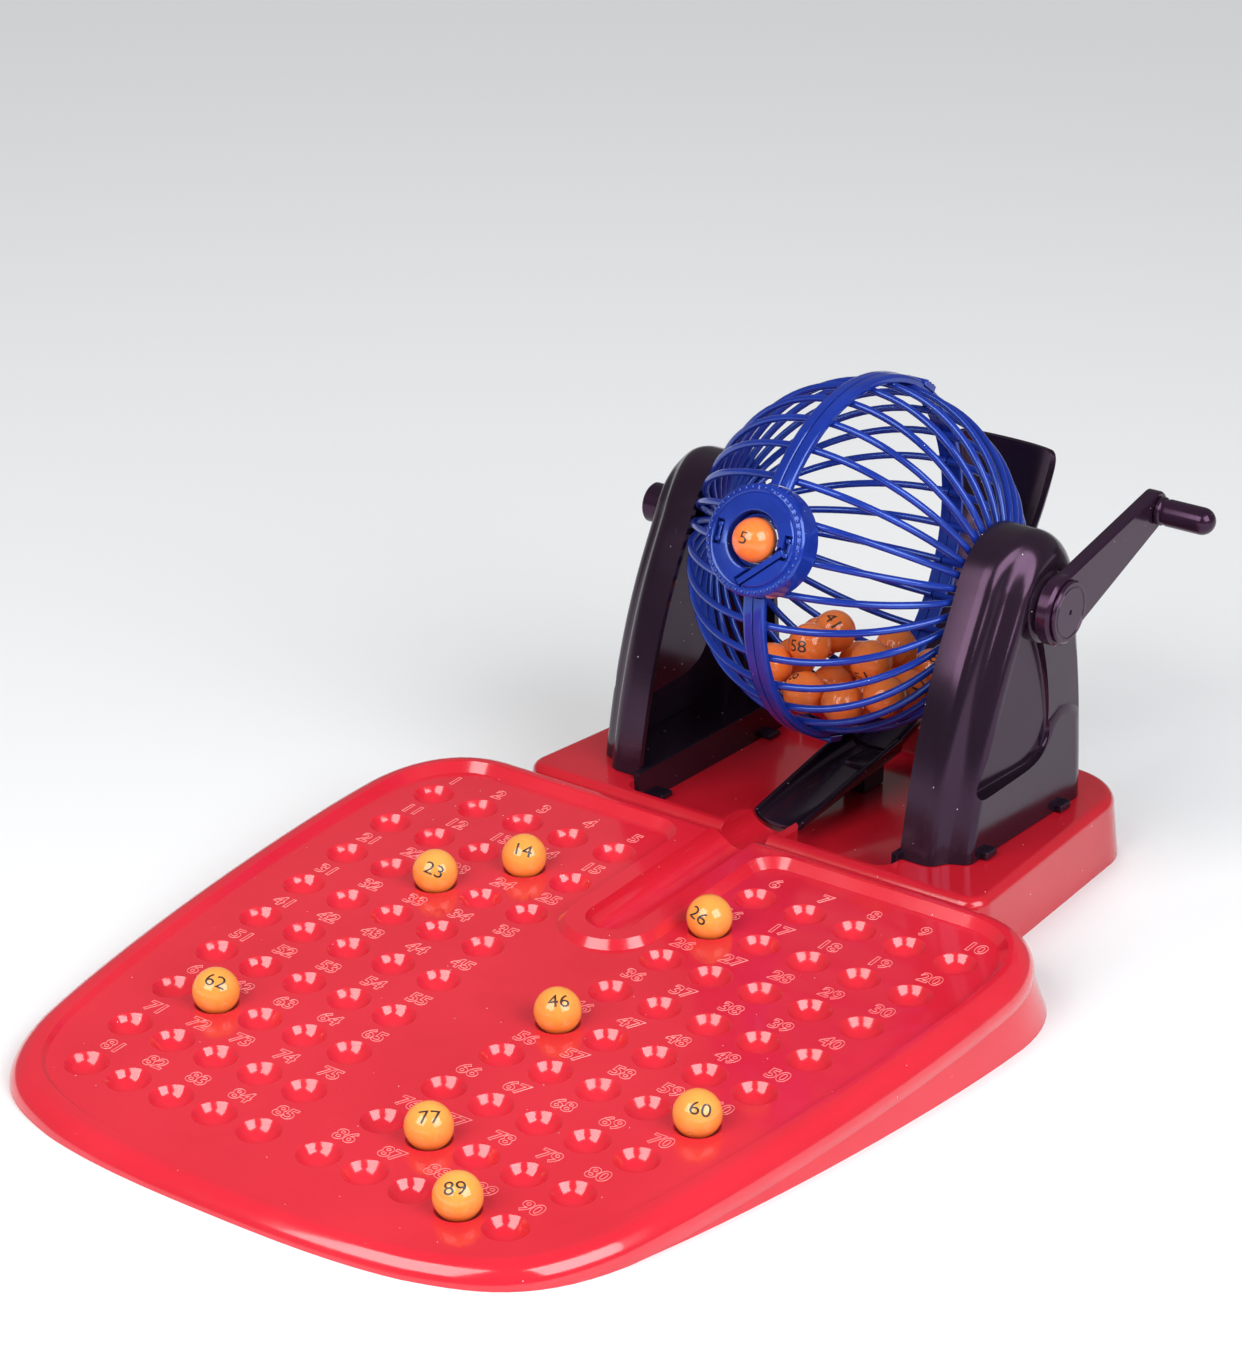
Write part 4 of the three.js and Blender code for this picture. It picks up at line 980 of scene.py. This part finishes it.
def buildCrank():
    look = crankLook
    start, end, hub = look.start, look.start + look.thickness, look.hubRadius
    length, root, tip = look.length, look.rootRadius, look.tipRadius
    lean = degrees(acos((root - tip) / length))
    outline = spaced([*arc((length, 0), tip, -lean, lean, 20), *arc((0, 0), root, lean, 360 - lean, 40)])
    arm = layered("crank_arm_plate", outline, [
        (0.5, start), (0, start + 0.5), (0, end - 1), (0.25, end - 0.4), (0.8, end), (1.6, end)], sideways)
    combine(arm, lathe("hub", [
        (0, start), (hub - 0.6, start), (hub, start + 0.6), (hub, end - 1.2), (hub - 0.5, end - 0.6),
        (hub - 0.9, end), (0, end)], 72), "UNION")
    combine(arm, rod("axle_hole", look.axleHole, start - 2, start + look.axleGrip + look.gap, 32))
    pin = lay(rod("pin", look.pinRadius, end - 2, end + look.pinLength, 24), shift((0, length, 0)))
    raised = axleLie @ turned(look.rise)
    arm = join("crank_arm_plate", [pin, arm])
    finish(arm, raised, "crank_black_plastic", "cage", ["crank_arm"], 35)

    low, radius = end + look.gap, look.capRadius
    high = low + look.capThickness
    cap = lathe("crank_cap_disc", [
        (0, low), (radius - 0.3, low), (radius, low + 0.3), (radius, high - 0.6), (radius - 0.6, high - 0.05),
        (radius - 1.1, high), (radius - 1.8, high), (radius - 2, high - 0.25), (radius - 2.3, high - 0.25),
        (radius - 2.5, high), (1, high), (0.8, high - 0.5), (0, high - 0.5)], 72)
    finish(cap, raised, "crank_black_plastic", "cage", ["crank_cap"], 30)

    bore, knob, inside = look.pinRadius + look.knobPlay, look.knobRadius, look.pinLength + look.knobPlay
    waist = knob * look.knobWaist
    dome = arc((0, look.knobLength - waist), waist, 0, 90, 10)
    grip = lathe("crank_knob_grip", [
        (bore, 0), (knob - 0.5, 0), (knob, 0.5), (knob, 1.7), (knob - 0.3, 2.1), (knob - 0.6, 2.3),
        (knob - 0.62, 2.9), (waist, 4), *dome, (0, inside), (bore, inside)], 48)
    lay(grip, shift((end + look.gap, length, 0)))
    finish(grip, raised, "crank_black_plastic", "crank_knob", ["crank_knob"], 35)


def buildAxleCap():
    look = axleCapLook
    radius, length, inside, grip = look.radius, look.length, look.radius - look.wall, look.grip
    hole, floor = crankLook.axleHole, look.grip + look.wall
    cup = lathe("axle_cap_cup", [
        (0, grip), (hole, grip), (hole, 0), (radius - 0.4, 0), (radius, 0.4), (radius, length - 0.6),
        (radius - 0.4, length - 0.1), (radius - 0.8, length), (inside + 0.2, length - 0.2),
        (inside, length - 0.6), (inside, floor), (0, floor)], 48)
    weld(lay(cup, mirrorX @ shift((crankLook.start, 0, 0))))
    finish(cup, axleLie, "crank_black_plastic", "cage", ["axle_cap"], 30)


buildCrank()
buildAxleCap()

# Ball guide and ramp

guideLook = Look(
    topAngle=9, seamAngle=-51, endAngle=-77, rimTop=102, rimSeam=77.5, bulgeShare=0.4,
    halfWidthTop=24, halfWidth=12, depthTop=6, depth=8.6, wall=1.8,
    cornerAngle=9, spread=90, cornerSpread=40, sides=20, steps=30, cornerSteps=10,
    roundness=0.8, footWidth=9, footLength=14, footGap=0.3, softness=0.5,
)
rampLook = Look(halfWidth=11, rimFront=21.8, floorFront=18.5, front=23.6, steps=12,
                overlap=1.5, cuff=0.2, leanPower=6)


def mix(start, end, share):
    return start + (end - start) * share


def troughRing(rim, down, halfWidth, depth, spread):
    look = guideLook
    points = []
    for shrink, way in ((0, 1), (look.wall, -1)):
        for k in range(look.sides + 1):
            angle = radians(spread) * (2 * k / look.sides - 1) * way
            across = copysign(abs(sin(angle)) ** look.roundness, angle) * (halfWidth - shrink)
            sink = max(cos(angle), 0) ** look.roundness * (depth - shrink)
            points.append(Vector((across, rim.x + down.x * sink, rim.y + down.y * sink)))
    return points


def guideRing(turn, spread):
    look = guideLook
    share = max((turn - look.seamAngle) / (look.topAngle - look.seamAngle), 0)
    bulge = share * (1 + look.bulgeShare * (1 - share))
    rim = onCircle(turn) * mix(look.rimSeam, look.rimTop, bulge) + axleOverBase
    halfWidth = mix(look.halfWidth, look.halfWidthTop, share * sqrt(share))
    return troughRing(rim, onCircle(turn), halfWidth, mix(look.depth, look.depthTop, share), spread)


def buildGuide():
    look = guideLook
    lastFull = look.topAngle - look.cornerAngle
    rings = [guideRing(mix(look.endAngle, lastFull, k / look.steps), look.spread) for k in range(look.steps)]
    for k in range(look.cornerSteps + 1):
        turn = pi / 2 * k / look.cornerSteps
        spread = look.spread - look.cornerSpread * (1 - cos(turn))
        rings.append(guideRing(lastFull + look.cornerAngle * sin(turn), spread))
    guide = soften(loft("ball_guide_trough", rings), look.softness, 2, 50)
    finish(guide, baseLie, "stand_black_plastic", "game_board", ["ball_guide"], 40)


def buildRamp():
    look, ramp = guideLook, rampLook
    end = onCircle(look.endAngle, look.rimSeam)
    end += axleOverBase
    back, rimBack = end.x + ramp.overlap, end.y
    floorBack = rimBack - look.depth
    rings = []
    for k in range(ramp.steps + 1):
        share = k / ramp.steps
        rim = Vector((mix(ramp.front, back, share), mix(ramp.rimFront, rimBack, share)))
        halfWidth = mix(ramp.halfWidth, look.halfWidth + ramp.cuff, share)
        down = Vector((cos(radians(look.endAngle)) * share ** ramp.leanPower, -1))
        depth = rim.y - mix(ramp.floorFront, floorBack, share) + look.wall
        rings.append(troughRing(rim, down, halfWidth, depth, look.spread))
    ramped = loft("ball_ramp_trough", rings)
    foot = block("foot", (-look.footWidth / 2, back - look.footLength, baseLook.wellFloor + look.footGap),
                 (look.footWidth / 2, back, floorBack), 0.5)
    soften(ramped, look.softness, 2, 50)
    piece = join("ball_ramp_trough", [foot, ramped])
    finish(piece, baseLie, "stand_black_plastic", "game_board", ["ball_ramp"], 40)


buildGuide()
buildRamp()

# Balls

ballLook = Look(
    radius=8, steps=40, seamRise=0.03, gateRadius=0.55, gateDepth=0.18,
    numberHeight=4.6, numberWidth=1.2, numberRise=0.035, numberThickness=0.07, longestEdge=1.4,
)
trayBallLooks = [  # node's number, its text, then where the text faces: degrees round, up, and turned
    (1, "14", 30, 40, -10), (2, "26", 0, 24, -20), (3, "23", 35, 28, -22), (4, "46", 40, 50, 0),
    (5, "60", 42, 37, -15), (6, "62", 40, 50, -20), (7, "77", 40, 48, 0), (8, "89", 28, 46, 8),
]
outletBallText = "5"
cageBallCount = 16
cageBallSeed = 21
highestNumber = 90


def ballProfile():
    look = ballLook
    gate, depth = look.gateRadius, look.gateDepth
    top = sqrt(look.radius ** 2 - gate ** 2)
    points = [(0, top - depth), (gate * 0.7, top - depth), (gate, top)]
    for turn in range(5, 181, 5):
        reach = look.radius + (look.seamRise if turn == 90 else 0)
        points.append((reach * sin(radians(turn)), reach * cos(radians(turn))))
    return points


def numberDecal(text, turn):
    # digits bent over the ball, which face -Y before they are turned
    look = ballLook
    piece = writeNumber(text, look.numberHeight, resolution_u=5)
    openEdit(piece)
    bpy.ops.mesh.remove_doubles(threshold=0.001)
    bpy.ops.mesh.quads_convert_to_tris()
    for _ in range(4):
        bpy.ops.mesh.select_all(action="DESELECT")
        closeEdit()
        for edge in piece.data.edges:
            a, b = (piece.data.vertices[n].co for n in edge.vertices)
            edge.select = (a - b).length > look.longestEdge
        bpy.ops.object.mode_set(mode="EDIT")
        bpy.ops.mesh.select_mode(type="EDGE")
        bpy.ops.mesh.subdivide()
    bpy.ops.mesh.select_mode(type="VERT")
    closeEdit()
    spin = Matrix.Rotation(radians(turn), 2)
    for vertex in piece.data.vertices:
        flat = spin @ Vector((vertex.co.x * look.numberWidth, vertex.co.y))
        angle = flat.length / look.radius
        across = flat.normalized() if flat.length else flat
        reach = look.radius + look.numberRise
        vertex.co = Vector((across.x * sin(angle), -cos(angle), across.y * sin(angle))) * reach
    modify(piece, "ink_depth", "SOLIDIFY", thickness=look.numberThickness, offset=-1)
    piece.data.materials.clear()
    piece.data.materials.append(plastics["number_ink"])
    return piece


def makeBall(node, text, facing, up, turn, gateTurn, body, material, slotName):
    name = f"{node}_numbered"
    ball = lathe(name, ballProfile(), ballLook.steps)
    lay(ball, Euler(gateTurn).to_matrix().to_4x4())
    ball.data.materials.append(plastics[material])
    decal = lay(numberDecal(text, turn), turned(facing, "Z") @ turned(-up))
    low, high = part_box(node)
    finish(join(name, [decal, ball]), shift((low + high) / 2 / mm), None, body, [node], 60)


def buildBalls():
    dice = random.Random(cageBallSeed)

    def anyTurn():
        return [dice.uniform(0, tau) for _ in range(3)]
    for number, text, facing, up, turn in trayBallLooks:
        node = f"tray_ball_{number}"
        makeBall(node, text, facing, up, turn, anyTurn(), node, "ball_yellow_plastic", "tray_ball")
    orange = ("ball_orange_plastic", "cage_ball")
    makeBall("outlet_ball", outletBallText, 0, outletLook.tilt, 0, anyTurn(), "outlet_ball", *orange)
    left = list(range(1, highestNumber + 1))
    dice.shuffle(left)
    for k in range(cageBallCount):
        facing, up, turn = dice.uniform(-180, 180), dice.uniform(-70, 70), dice.uniform(-90, 90)
        node = f"cage_ball_{k + 1}"
        makeBall(node, str(left[k]), facing, up, turn, anyTurn(), "cage_balls", *orange)


buildBalls()
